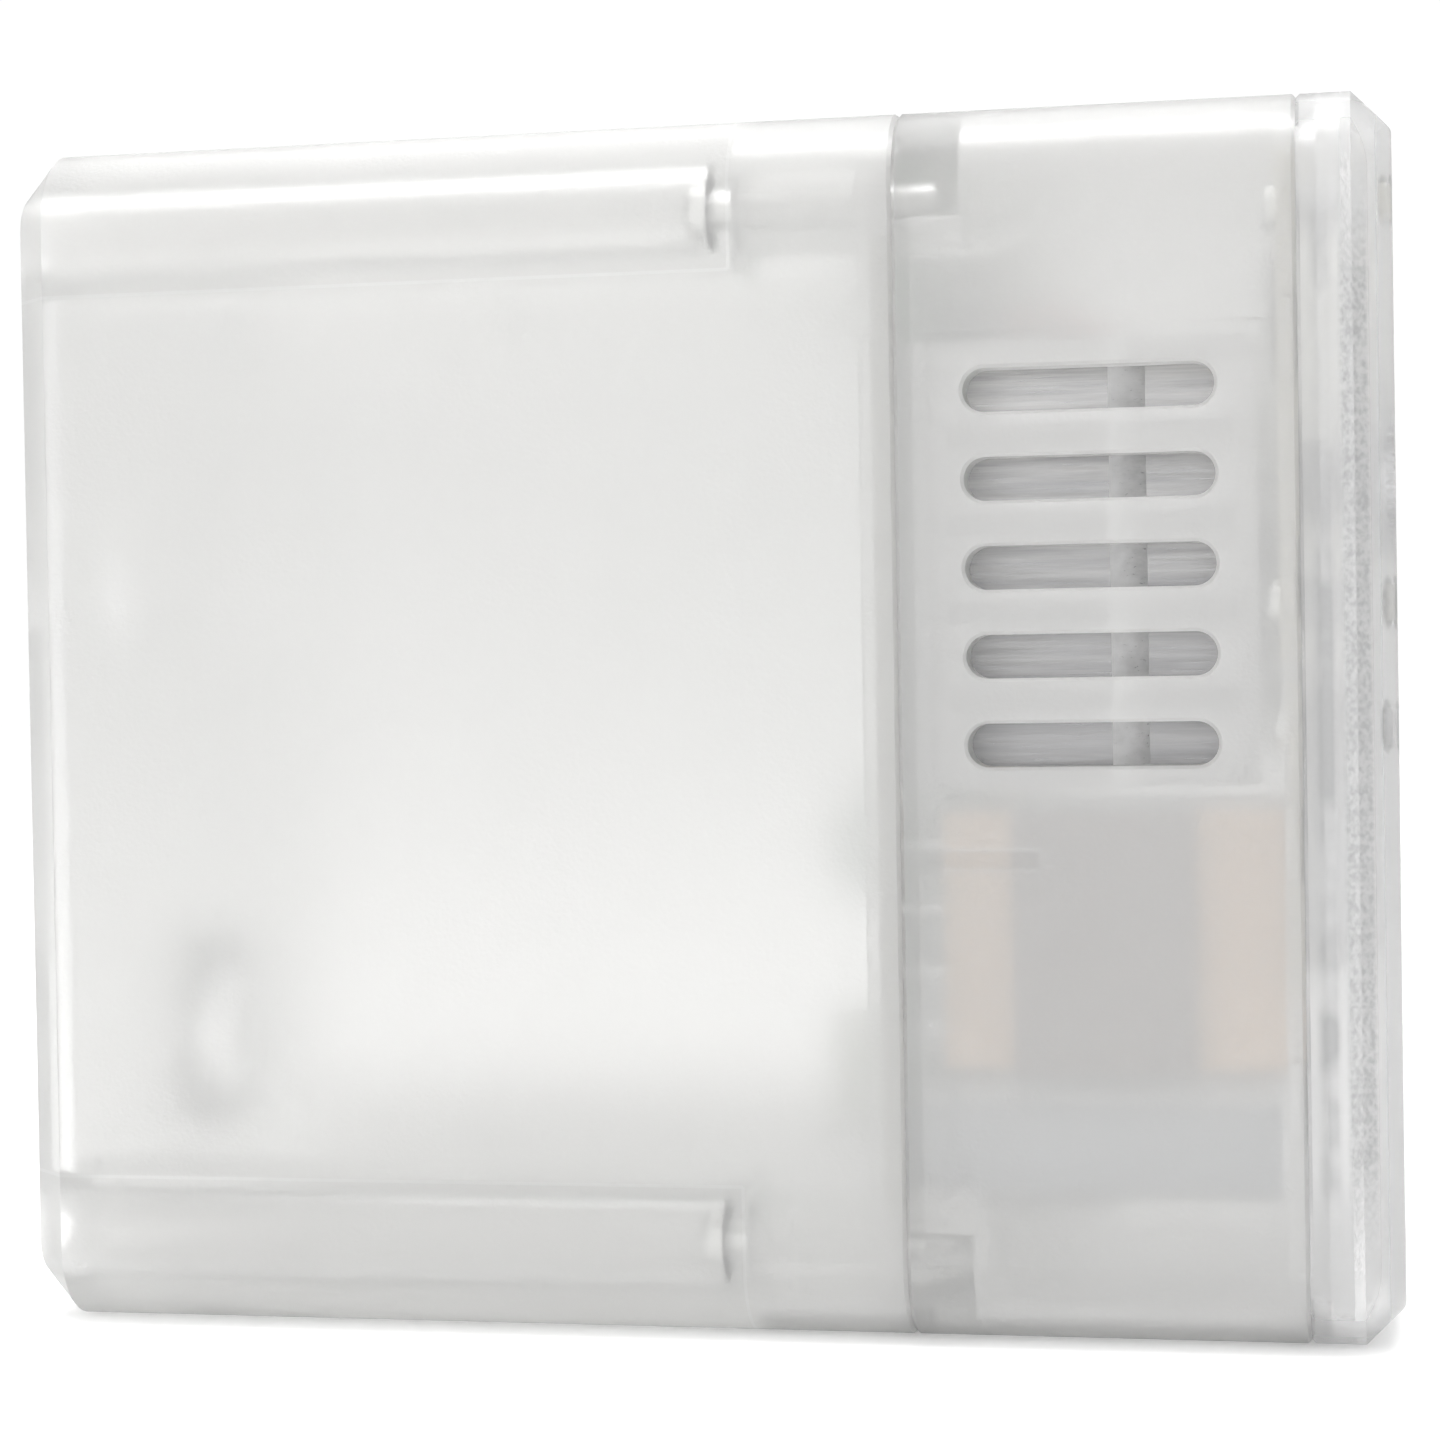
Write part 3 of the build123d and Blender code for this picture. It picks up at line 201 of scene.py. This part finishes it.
def tunnel_edge_highlights(paint):
    """Fine painted highlight lines, pale, on the outside where the corner tunnels meet the walls."""
    low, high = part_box("rear_housing")
    half = 0.13 * MM
    middle = (low.z + high.z) / 2
    up = paint.math("ABSOLUTE", paint.math("SUBTRACT", paint.axis("Z"), middle))
    tunnel_z = high.z - middle - TUNNEL
    tunnel_x = low.x + TUNNEL_LENGTH
    on_edge = paint.math("COMPARE", up, tunnel_z, half)
    on_end = paint.math("COMPARE", paint.axis("X"), tunnel_x, half)
    behind_end = paint.math("LESS_THAN", paint.axis("X"), tunnel_x)
    in_corner = paint.math("GREATER_THAN", up, tunnel_z)
    lines = paint.math("ADD", paint.math("MULTIPLY", on_edge, behind_end),
                       paint.math("MULTIPLY", on_end, in_corner))
    return paint.math("MULTIPLY", lines, 0.8, clamp=True)


def stripe(paint, distance, edges):
    """1 within the middle two of four edges in mm, fading to 0 at the outer two."""
    near, in_from, in_to, far = (edge * MM for edge in edges)
    return paint.math("MULTIPLY", paint.remap(distance, near, in_from, 0.0, 1.0),
                      paint.remap(distance, in_to, far, 1.0, 0.0))


def clear_cover():
    """Clear plastic, smooth outside and pebbled on its inner faces, with a painted dark reflection and
    painted shade inside.
    """
    paint = Paint("clear_cover", (0.93, 0.935, 0.935), 0.16)
    paint.set("IOR", 1.4)
    low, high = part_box("front_cover")
    side = paint.math("LESS_THAN", paint.math("ABSOLUTE", paint.axis("Y")), high.y - COVER_SKIN)
    front = paint.math("LESS_THAN", paint.axis("X"), high.x - COVER_SKIN)
    top = paint.math("LESS_THAN", paint.axis("Z"), high.z - COVER_SKIN)
    base = paint.math("GREATER_THAN", paint.axis("Z"), low.z + COVER_SKIN)
    inside = paint.math("MULTIPLY", paint.math("MULTIPLY", side, front), paint.math("MULTIPLY", top, base))
    # on the inside, a painted dark reflection follows the bevel as a pebbled column, and soft grey
    # blotches of painted shade lie behind it
    from_front = paint.math("SUBTRACT", high.x, paint.axis("X"))
    speck = paint.remap(paint.noise(0.45 * MM, 3.0, 0.7), 0.40, 0.60, 0.55, 1.0)
    blotch = paint.remap(paint.noise(8 * MM, 2.0), 0.38, 0.58, 0.2, 0.95)
    column = paint.math("MULTIPLY", stripe(paint, from_front, COLUMN), speck)
    blotches = paint.math("MULTIPLY", stripe(paint, from_front, BLOTCHES), blotch)
    painted_reflection_and_shade = paint.math("MAXIMUM", column, blotches)
    from_middle = paint.math("ABSOLUTE", paint.math("SUBTRACT", paint.axis("Z"), (low.z + high.z) / 2))
    away_from_ends = paint.remap(from_middle, 33 * MM, 43 * MM, 1.0, 0.0)
    # the painted dark reflection and shade, kept to the inner faces and away from the ends
    dark = paint.math("MULTIPLY", painted_reflection_and_shade, paint.math("MULTIPLY", inside, away_from_ends))
    paint.link(paint.mix(dark, (0.96, 0.96, 0.96), (0.17, 0.173, 0.178)), "Base Color")
    paint.link(paint.math("MULTIPLY_ADD", dark, -0.62, COVER_CLEAR), "Transmission Weight")
    paint.link(paint.remap(inside, 0.0, 1.0, 0.27, 0.38), "Roughness")
    pits = paint.math("MULTIPLY", paint.cells(0.9 * MM), 0.5)
    pebble = paint.math("ADD", paint.noise(0.6 * MM, 2.0), pits)
    rough_skin = paint.math("MULTIPLY", pebble, inside)
    smooth_skin = paint.math("MULTIPLY", paint.noise(3.0 * MM, 2.0), 0.06)
    paint.bump(paint.math("ADD", rough_skin, smooth_skin), 0.045 * MM, 0.6)
    return paint


# ---- metals and plastics with a pattern of their own --------------------------------------------
def laminations():
    """Varnished sheets 0.5 mm thick, stacked along X."""
    paint = Paint("core_steel", (0.10, 0.095, 0.095), 0.42, 0.35)
    sheets = paint.waves("X", 0.5 * MM, 0.9)
    varnish = paint.noise(3 * MM, 4.0)
    paint.link(paint.mix(varnish, (0.045, 0.024, 0.022), (0.10, 0.065, 0.055)), "Base Color")
    paint.link(paint.remap(sheets, 0.0, 1.0, 0.3, 0.55), "Roughness")
    paint.bump(sheets, 0.05 * MM, 0.7)
    return paint


def taped_winding():
    """Amber tape wound over the coil, with its edges every 4 mm."""
    paint = Paint("winding_tape", (0.62, 0.42, 0.24), 0.34)
    edge = paint.waves("Y", 3.7 * MM, 3.0)
    wire = paint.waves("Y", 0.25 * MM, 0.5)
    tone = paint.noise(2.5 * MM, 3.0)
    paint.link(paint.mix(tone, (0.56, 0.35, 0.19), (0.70, 0.50, 0.30)), "Base Color")
    height = paint.math("MULTIPLY_ADD", wire, 0.25, edge)
    paint.bump(height, 0.05 * MM, 0.6)
    paint.set("Coat Weight", 0.3)
    return paint


def copper_winding():
    paint = Paint("copper_wire", (0.62, 0.24, 0.10), 0.28, 0.85)
    turns = paint.waves("X", 0.16 * MM, 0.5)
    paint.link(paint.mix(turns, (0.30, 0.09, 0.04), (0.72, 0.30, 0.13)), "Base Color")
    paint.bump(turns, 0.06 * MM, 0.9)
    return paint


def solder_mask(name, colour, track, edge):
    """Circuit board: tracks under the mask, pads, and woven laminate on the cut edge."""
    paint = Paint(name, colour, 0.32)
    lanes_y = paint.waves("Y", 1.9 * MM, 4.0)
    lanes_z = paint.waves("Z", 2.3 * MM, 4.0)
    region = paint.math("GREATER_THAN", paint.noise(9 * MM, 1.0), 0.5)
    tracks = paint.add("Mix", {"Factor": region, 2: lanes_y, 3: lanes_z}, data_type="FLOAT").outputs[0]
    face = paint.mix(tracks, colour, track)
    normal = paint.add("NewGeometry").outputs["Normal"]
    facing = paint.math("ABSOLUTE", paint.add("SeparateXYZ", {"Vector": normal}).outputs["X"])
    on_face = paint.math("GREATER_THAN", facing, 0.6)
    weave = paint.mix(paint.noise(0.4 * MM, 2.0, 0.5, paint.stretched(3, 1, 1)), edge,
                      tuple(c * 0.8 for c in edge))
    paint.link(paint.mix(on_face, weave, face), "Base Color")
    paint.bump(tracks, 0.035 * MM, 0.5)
    paint.set("Coat Weight", 0.25)
    return paint


JOGGLE = 17.9 * MM           # middle of a vent baffle's joggle, from its rear edge


def brushed_sheet():
    """Aluminium sheet with long brush lines along X, with painted shade darkening it towards the base."""
    paint = Paint("baffle_aluminium", (0.56, 0.56, 0.57), 0.34, 1.0)
    fine = paint.noise(0.22 * MM, 5.0, 0.65, paint.stretched(0.03, 1, 1))
    broad = paint.noise(1.1 * MM, 3.0, 0.6, paint.stretched(0.05, 1, 1))
    blend = paint.math("MULTIPLY_ADD", fine, 0.5, paint.math("MULTIPLY", broad, 0.5))
    spread = paint.remap(blend, 0.36, 0.64, 0.0, 1.0)
    brushed = paint.mix(spread, (0.27, 0.27, 0.275), (0.50, 0.495, 0.49))
    low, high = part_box("vent_baffle_left")
    # painted shade: the sheet is darkened towards its base
    base_shade = paint.remap(paint.axis("Z"), low.z, high.z, 0.7, 0.0)
    shaded_brushing = paint.mix(base_shade, brushed, (0.22, 0.22, 0.225))
    # the joggle's slope gets a painted highlight, chalky and pale, and is not metallic there
    normal = paint.add("NewGeometry").outputs["Normal"]
    slope = paint.math("ABSOLUTE", paint.add("SeparateXYZ", {"Vector": normal}).outputs["X"])
    past_joggle = paint.math("SUBTRACT", paint.axis("X"), low.x + JOGGLE)
    fading = paint.math("ADD", paint.remap(past_joggle, -1.4 * MM, 1.6 * MM, 1.0, 0.35),
                        paint.remap(paint.noise(1.6 * MM, 3.0), 0.35, 0.65, -0.2, 0.1), clamp=True)
    near = paint.math("LESS_THAN", paint.math("ABSOLUTE", past_joggle), 3.0 * MM)
    sloped = paint.math("MULTIPLY", paint.remap(slope, 0.02, 0.2, 0.0, 1.0), near)
    # mask of the painted highlight on the joggle's slope
    slope_highlight = paint.math("MULTIPLY", sloped, fading)
    paint.link(paint.mix(slope_highlight, shaded_brushing, (0.66, 0.66, 0.665)), "Base Color")
    paint.link(paint.remap(slope_highlight, 0.0, 1.0, 1.0, 0.0), "Metallic")
    paint.link(paint.remap(fine, 0.3, 0.7, 0.24, 0.5), "Roughness")
    paint.set("Anisotropic", 0.6)
    paint.bump(fine, 0.02 * MM, 0.5)
    return paint


def capacitor_sleeve():
    """Dark shrink sleeve with a pale stripe down one side and a bare aluminium vent end."""
    paint = Paint("capacitor_sleeve", (0.05, 0.055, 0.075), 0.24)
    low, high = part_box("smoothing_capacitors")
    end = paint.math("GREATER_THAN", paint.axis("X"), high.x - 0.35 * MM)
    stripe = paint.math("GREATER_THAN", paint.axis("Z"), high.z - 2.2 * MM)
    sleeve = paint.mix(stripe, (0.20, 0.22, 0.25), (0.56, 0.57, 0.58))
    tone = paint.noise(3 * MM, 3.0)
    body = paint.mix(paint.math("MULTIPLY", tone, 0.25), sleeve, (0.34, 0.36, 0.38))
    paint.link(paint.mix(end, body, (0.62, 0.62, 0.62)), "Base Color")
    paint.link(end, "Metallic")
    paint.bump(tone, 0.05 * MM, 0.3)
    return paint


def smoked(name, colour, clear):
    paint = Paint(name, colour, 0.14)
    paint.set("Transmission Weight", clear)
    paint.set("IOR", 1.46)
    paint.link(paint.remap(paint.noise(2 * MM), 0.3, 0.7, 0.08, 0.2), "Roughness")
    paint.bump(paint.noise(1.2 * MM, 2.0), 0.01 * MM, 0.4)
    return paint


def silicone():
    """Natural silicone rubber, which lets most light through."""
    paint = moulded("grey_rubber", (0.97, 0.97, 0.965), 0.35, 0.3 * MM, 0.02)
    paint.set("Transmission Weight", 0.94)
    paint.set("IOR", 1.2)
    return paint


def ribbed_cable():
    """Flat cable: one ridge for each conductor, and a red marker along one edge."""
    paint = Paint("ribbon_grey", (0.50, 0.51, 0.52), 0.45)
    low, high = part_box("ribbon_cable")
    ridges = paint.waves("Y", (high.y - low.y) / 8, 0.5)
    marker = paint.math("LESS_THAN", paint.axis("Y"), low.y + 1.0 * MM)
    tone = paint.mix(paint.noise(2 * MM), (0.44, 0.45, 0.46), (0.58, 0.59, 0.60))
    paint.link(paint.mix(marker, tone, (0.52, 0.06, 0.05)), "Base Color")
    paint.bump(ridges, 0.12 * MM, 0.9)
    return paint


def siren_disc_metal():
    """Brass disc with rings spun into it."""
    paint = Paint("brass_disc", (0.80, 0.62, 0.30), 0.3, 1.0)
    low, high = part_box("siren_disc")
    middle = (low + high) / 2
    radius = paint.add("VectorMath", {0: paint.place, 1: tuple(middle)}, operation="DISTANCE")
    phase = paint.math("MULTIPLY", radius.outputs["Value"], 2 * math.pi / (0.3 * MM))
    rings = paint.math("SINE", phase)
    paint.link(paint.mix(paint.noise(3 * MM), (0.70, 0.52, 0.24), (0.86, 0.70, 0.38)), "Base Color")
    paint.bump(rings, 0.01 * MM, 0.5)
    return paint


def make_materials():
    """One finished material for each material slot in the record."""
    brush_x = (0.05, 1, 1)
    made = {
        "frosted_case": frosted_case(),
        "clear_cover": clear_cover(),
        "zinc_screw": metal("zinc_screw", (0.66, 0.665, 0.65), 0.28, brush_x),
        "grey_rubber": silicone(),
        "board_green": solder_mask("board_green", (0.10, 0.20, 0.12), (0.16, 0.30, 0.18),
                                   (0.30, 0.30, 0.20)),
        "board_yellow": solder_mask("board_yellow", (0.60, 0.58, 0.46), (0.68, 0.66, 0.54),
                                    (0.62, 0.55, 0.34)),
        "core_steel": laminations(),
        "bobbin_tan": moulded("bobbin_tan", (0.58, 0.38, 0.23), 0.45),
        "winding_tape": taped_winding(),
        "tinned_pin": metal("tinned_pin", (0.74, 0.74, 0.75), 0.3, brush_x),
        "relay_black": moulded("relay_black", (0.04, 0.04, 0.045), 0.4),
        "relay_smoke": smoked("relay_smoke", (0.30, 0.31, 0.34), 0.75),
        "soft_iron": metal("soft_iron", (0.52, 0.52, 0.53), 0.36),
        "copper_wire": copper_winding(),
        "contact_bronze": metal("contact_bronze", (0.72, 0.48, 0.24), 0.3, (1, 0.1, 1)),
        "capacitor_sleeve": capacitor_sleeve(),
        "chip_black": moulded("chip_black", (0.03, 0.03, 0.032), 0.5, 0.2 * MM),
        "baffle_aluminium": brushed_sheet(),
        "siren_black": moulded("siren_black", (0.04, 0.04, 0.042), 0.46),
        "brass_disc": siren_disc_metal(),
        "fuse_glass": smoked("fuse_glass", (0.93, 0.95, 0.95), 0.97),
        "fuse_metal": metal("fuse_metal", (0.76, 0.75, 0.72), 0.22),
        "header_white": moulded("header_white", (0.78, 0.78, 0.74), 0.42),
        "terminal_green": moulded("terminal_green", (0.66, 0.69, 0.67), 0.4),
        # the reflector's dark colour is painted shade, standing in for dark reflections near the strobe
        "reflector_chrome": metal("reflector_chrome", (0.34, 0.34, 0.345), 0.18, tone=0.25),
        "lamp_resin": moulded("lamp_resin", (0.88, 0.74, 0.30), 0.25),
        "status_resin": smoked("status_resin", (0.88, 0.93, 0.88), 0.8),
        "shield_tin": metal("shield_tin", (0.68, 0.68, 0.66), 0.33),
        "ribbon_grey": ribbed_cable(),
        "button_grey": moulded("button_grey", (0.42, 0.43, 0.44), 0.42),
        "bezel_dark": metal("bezel_dark", (0.50, 0.50, 0.51), 0.22),
        "lever_white": moulded("lever_white", (0.80, 0.80, 0.78), 0.38),
    }
    return {slot: paint.material for slot, paint in made.items()}


def paint_cad_nodes(materials):
    for part in frame["record"]["subparts"]:
        piece = nodes_of_cad[part["node"]]
        piece.data.materials.clear()
        piece.data.materials.append(materials[part["material_slot"]])


# ---- small parts on the boards ------------------------------------------------------------------
CHIP = (2.0 * MM, 1.25 * MM, 0.5 * MM)      # length, width and height of a chip resistor
MAIN_CHIP_ROWS = ((47, -24, 24), (52.5, -24, 24), (58, -24, 24), (65, -24, 24), (71, -24, 24))
FRONT_CHIP_ROWS = ((58, 6, 20), (62, 6, 20), (67, -20, -10), (71, -20, -10), (62, -27, -12))
CHIP_PITCH = 4.0             # mm
CHIP_CAP = 0.38 * MM         # length of each tinned end cap
CHIP_CAP_PROUD = 0.03 * MM
CHIPS_TURNED = 0.4           # share of the chips that stand upright
CHIPS_FITTED = 0.75          # share of the places that hold a chip
SOLDER = ((0.0, 1.0), (0.12, 0.85), (0.4, 0.58), (0.8, 0.46), (1.0, 0.42))   # mm off the board, radius
LINK_PLACES = (-14.0, -11.5, -9.0, -6.5)    # mm, across the case
LINK_R = 0.35 * MM
LINK_STEPS = 14
LINK_LIFT = 1.5 * MM         # how far a link bows away from the boards
LINK_BELOW = 1.6 * MM        # its lower end, below the top of the strobe board
LINK_RISE = 5.0 * MM


def add_piece(name, form, slot, materials):
    """Turns the bmesh form into a piece that rides on the case, with a record slot's finish."""
    mesh = bpy.data.meshes.new(name)
    form.to_mesh(mesh)
    form.free()
    mesh.materials.append(materials[slot])
    piece = bpy.data.objects.new(name, mesh)
    bpy.context.scene.collection.objects.link(piece)
    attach(piece, "case")
    return piece


def add_bevelled_box(form, low, high, bevel):
    size = [h - l for l, h in zip(low, high)]
    centre = [(h + l) / 2 for l, h in zip(low, high)]
    placed = Matrix.Translation(centre) @ Matrix.Diagonal((*size, 1.0))
    made = bmesh.ops.create_cube(form, size=1.0, matrix=placed)["verts"]
    edges = list({edge for vert in made for edge in vert.link_edges})
    bmesh.ops.bevel(form, geom=edges, offset=bevel, segments=2, profile=0.6, affect="EDGES")


def add_lathed(form, profile, y, z, steps=20):
    """Surface turned about a line along X through (y, z), from (x, radius) points."""
    rings = []
    for x, radius in profile:
        ring = []
        for i in range(steps):
            angle = 2 * math.pi * i / steps
            place = (x, y + radius * math.cos(angle), z + radius * math.sin(angle))
            ring.append(form.verts.new(place))
        rings.append(ring)
    for lower, upper in zip(rings, rings[1:]):
        for i in range(steps):
            j = (i + 1) % steps
            form.faces.new((lower[i], lower[j], upper[j], upper[i]))
    form.faces.new(rings[-1])
    form.faces.new(reversed(rings[0]))


def islands(node):
    """(low, high) corners of each separate solid in a CAD node's mesh."""
    form = bmesh.new()
    form.from_mesh(nodes_of_cad[node].data)
    bmesh.ops.remove_doubles(form, verts=form.verts, dist=0.001 * MM)
    unseen = set(form.verts)
    found = []
    while unseen:
        group = [unseen.pop()]
        places = []
        while group:
            vert = group.pop()
            places.append(vert.co.copy())
            for edge in vert.link_edges:
                other = edge.other_vert(vert)
                if other in unseen:
                    unseen.remove(other)
                    group.append(other)
        low = Vector([min(place[axis] for place in places) for axis in range(3)])
        high = Vector([max(place[axis] for place in places) for axis in range(3)])
        found.append((low, high))
    form.free()
    return sorted(found, key=lambda box: (box[0].y, box[0].z))


def add_solder(materials):
    """A fillet of solder round every pin, on the side of the main board where the pin ends."""
    rear, front = (corner.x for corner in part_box("main_circuit_board"))
    form = bmesh.new()
    for node, surface, outward in (("transformer_pins", rear, -1), ("relay_pins", rear, -1),
                                   ("terminal_pins", front, 1)):
        for low, high in islands(node):
            y = (low.y + high.y) / 2
            z = (low.z + high.z) / 2 if node != "terminal_pins" else high.z - 0.4 * MM
            profile = [(surface + outward * x * MM, radius * MM) for x, radius in SOLDER]
            add_lathed(form, profile, y, z)
    bmesh.ops.recalc_face_normals(form, faces=form.faces)
    add_piece("solder_joints", form, "tinned_pin", materials)


def chip_places(rows):
    """(y, z, turned) of each chip in the rows, with a few places left out."""
    for z, low_y, high_y in rows:
        y = low_y
        while y <= high_y:
            turned = rng.random() < CHIPS_TURNED
            if rng.random() < CHIPS_FITTED:
                yield y * MM, z * MM, turned
            y += CHIP_PITCH


def add_chips(name, rows, surface, materials):
    """Chip resistors on the rear face of a board: ceramic bodies with a tinned cap at each end."""
    bodies = bmesh.new()
    caps = bmesh.new()
    length, width, height = CHIP
    for y, z, turned in chip_places(rows):
        half = (length / 2, width / 2) if not turned else (width / 2, length / 2)
        along = 0 if not turned else 1
        low = [surface - height, y - half[0], z - half[1]]
        high = [surface, y + half[0], z + half[1]]
        body_low, body_high = list(low), list(high)
        body_low[1 + along] += CHIP_CAP
        body_high[1 + along] -= CHIP_CAP
        add_bevelled_box(bodies, body_low, body_high, 0.04 * MM)
        for end in (0, 1):
            cap_low, cap_high = list(low), list(high)
            cap_low[0] -= CHIP_CAP_PROUD
            if end:
                cap_low[1 + along] = high[1 + along] - CHIP_CAP
            else:
                cap_high[1 + along] = low[1 + along] + CHIP_CAP
            add_bevelled_box(caps, cap_low, cap_high, 0.07 * MM)
    add_piece(name + "_bodies", bodies, "chip_black", materials)
    add_piece(name + "_end_caps", caps, "tinned_pin", materials)


def add_links(materials):
    """Four wire links that carry power from the front board to the strobe board."""
    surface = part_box("front_circuit_board")[0].x
    strobe_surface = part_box("strobe_circuit_board")[0].x
    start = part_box("strobe_circuit_board")[1].z - LINK_BELOW
    form = bmesh.new()
    for y in LINK_PLACES:
        line = []
        for i in range(LINK_STEPS + 1):
            share = i / LINK_STEPS
            base = strobe_surface + (surface - strobe_surface) * share
            lift = LINK_LIFT * math.sin(math.pi * share)
            line.append(Vector((base - lift - 0.1 * MM, y * MM, start + LINK_RISE * share)))
        add_tube(form, line, LINK_R)
    bmesh.ops.recalc_face_normals(form, faces=form.faces)
    add_piece("board_links", form, "tinned_pin", materials)


def add_tube(form, line, radius, steps=10):
    """Round tube along a line of points that lies in a plane of constant Y."""
    across = Vector((0.0, 1.0, 0.0))
    rings = []
    for i, place in enumerate(line):
        ahead = line[min(i + 1, len(line) - 1)] - line[max(i - 1, 0)]
        side = ahead.normalized().cross(across)
        ring = []
        for k in range(steps):
            angle = 2 * math.pi * k / steps
            outward = math.cos(angle) * across + math.sin(angle) * side
            ring.append(form.verts.new(place + radius * outward))
        rings.append(ring)
    for lower, upper in zip(rings, rings[1:]):
        for k in range(steps):
            j = (k + 1) % steps
            form.faces.new((lower[k], lower[j], upper[j], upper[k]))
    form.faces.new(rings[-1])
    form.faces.new(reversed(rings[0]))


def add_board_details(materials):
    add_solder(materials)
    add_chips("main_board_chips", MAIN_CHIP_ROWS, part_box("main_circuit_board")[0].x, materials)
    add_chips("front_board_chips", FRONT_CHIP_ROWS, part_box("front_circuit_board")[0].x, materials)
    add_links(materials)


# ---- stage, lights and camera -------------------------------------------------------------------
FLOOR_SIZE = 6.0
FLOOR_GLOW = 0.24            # lifts the floor to the white of the backdrop
BACKDROP_AS_SEEN = 1.02
BACKDROP_AS_LIGHT = 0.71
SKY_POWER = 0.45
SKY_ANGLE = 60               # degrees, wide enough to leave no hard shadow
TOP_POWER = 3.5
FRONT_POWER = 3.0
CAMERA_PLACE = (0.0549, -0.2845, 0.0530)
CAMERA_YAW = 11.77           # degrees, to the left of straight across the case
CAMERA_TILT = -0.97          # degrees, below level
CAMERA_ROLL = -0.96
CAMERA_LENS = 80.9           # mm
CAMERA_SENSOR = 36.0         # mm
BOUNCES = 16                 # enough for light to cross the case's walls and come back out


def make_floor():
    mesh = bpy.data.meshes.new("floor")
    floor = bpy.data.objects.new("floor", mesh)
    bpy.context.scene.collection.objects.link(floor)
    form = bmesh.new()
    bmesh.ops.create_grid(form, x_segments=1, y_segments=1, size=FLOOR_SIZE / 2)
    form.to_mesh(mesh)
    form.free()
    floor.location.z = -0.05 * MM
    paint = Paint("floor", (0.93, 0.93, 0.93), 0.7)
    paint.link(paint.mix(paint.noise(0.05), (0.92, 0.92, 0.92), (0.94, 0.94, 0.94)), "Base Color")
    paint.set("Emission Color", (1.0, 1.0, 1.0, 1.0))
    paint.set("Emission Strength", FLOOR_GLOW)
    mesh.materials.append(paint.material)
    floor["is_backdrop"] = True


def add_softbox(name, place, target, size, power):
    data = bpy.data.lights.new(name, "AREA")
    data.shape = "RECTANGLE"
    data.size = size
    data.size_y = size
    data.energy = power
    lamp = bpy.data.objects.new(name, data)
    bpy.context.scene.collection.objects.link(lamp)
    lamp.location = place
    lamp.rotation_euler = (Vector(target) - Vector(place)).to_track_quat("-Z", "Y").to_euler()


def make_lights():
    world = bpy.data.worlds.new("studio")
    bpy.context.scene.world = world
    world.use_nodes = True
    tree = world.node_tree
    backdrop = tree.nodes["Background"]
    backdrop.inputs["Color"].default_value = (1.0, 1.0, 1.0, 1.0)
    seen_directly = tree.nodes.new("ShaderNodeLightPath").outputs["Is Camera Ray"]
    strength = tree.nodes.new("ShaderNodeMapRange")
    strength.inputs["To Min"].default_value = BACKDROP_AS_LIGHT
    strength.inputs["To Max"].default_value = BACKDROP_AS_SEEN
    tree.links.new(seen_directly, strength.inputs["Value"])
    tree.links.new(strength.outputs["Result"], backdrop.inputs["Strength"])
    low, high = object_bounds()
    middle = (low + high) / 2
    sky = bpy.data.objects.new("sky", bpy.data.lights.new("sky", "SUN"))
    sky.data.energy = SKY_POWER
    sky.data.angle = math.radians(SKY_ANGLE)
    bpy.context.scene.collection.objects.link(sky)
    add_softbox("top_softbox", (middle.x, 0.02, 0.60), middle, 0.6, TOP_POWER)
    add_softbox("front_softbox", (middle.x - 0.15, -0.75, 0.35), middle, 0.9, FRONT_POWER)


def make_camera():
    data = bpy.data.cameras.new("camera")
    data.lens = CAMERA_LENS
    data.sensor_width = CAMERA_SENSOR
    data.clip_start = 0.005
    data.clip_end = 20.0
    camera = bpy.data.objects.new("camera", data)
    bpy.context.scene.collection.objects.link(camera)
    level = Matrix.Rotation(math.radians(90 + CAMERA_TILT), 4, "X")
    turn = Matrix.Rotation(math.radians(CAMERA_YAW), 4, "Z")
    roll = Matrix.Rotation(math.radians(CAMERA_ROLL), 4, "Z")
    camera.matrix_world = Matrix.Translation(CAMERA_PLACE) @ turn @ level @ roll
    bpy.context.scene.camera = camera


def set_look():
    scene = bpy.context.scene
    scene.view_settings.view_transform = "Standard"
    scene.cycles.max_bounces = BOUNCES
    scene.cycles.transmission_bounces = BOUNCES - 2
    scene.cycles.transparent_max_bounces = BOUNCES


materials = make_materials()
paint_cad_nodes(materials)
add_board_details(materials)
make_floor()
make_lights()
make_camera()
set_look()
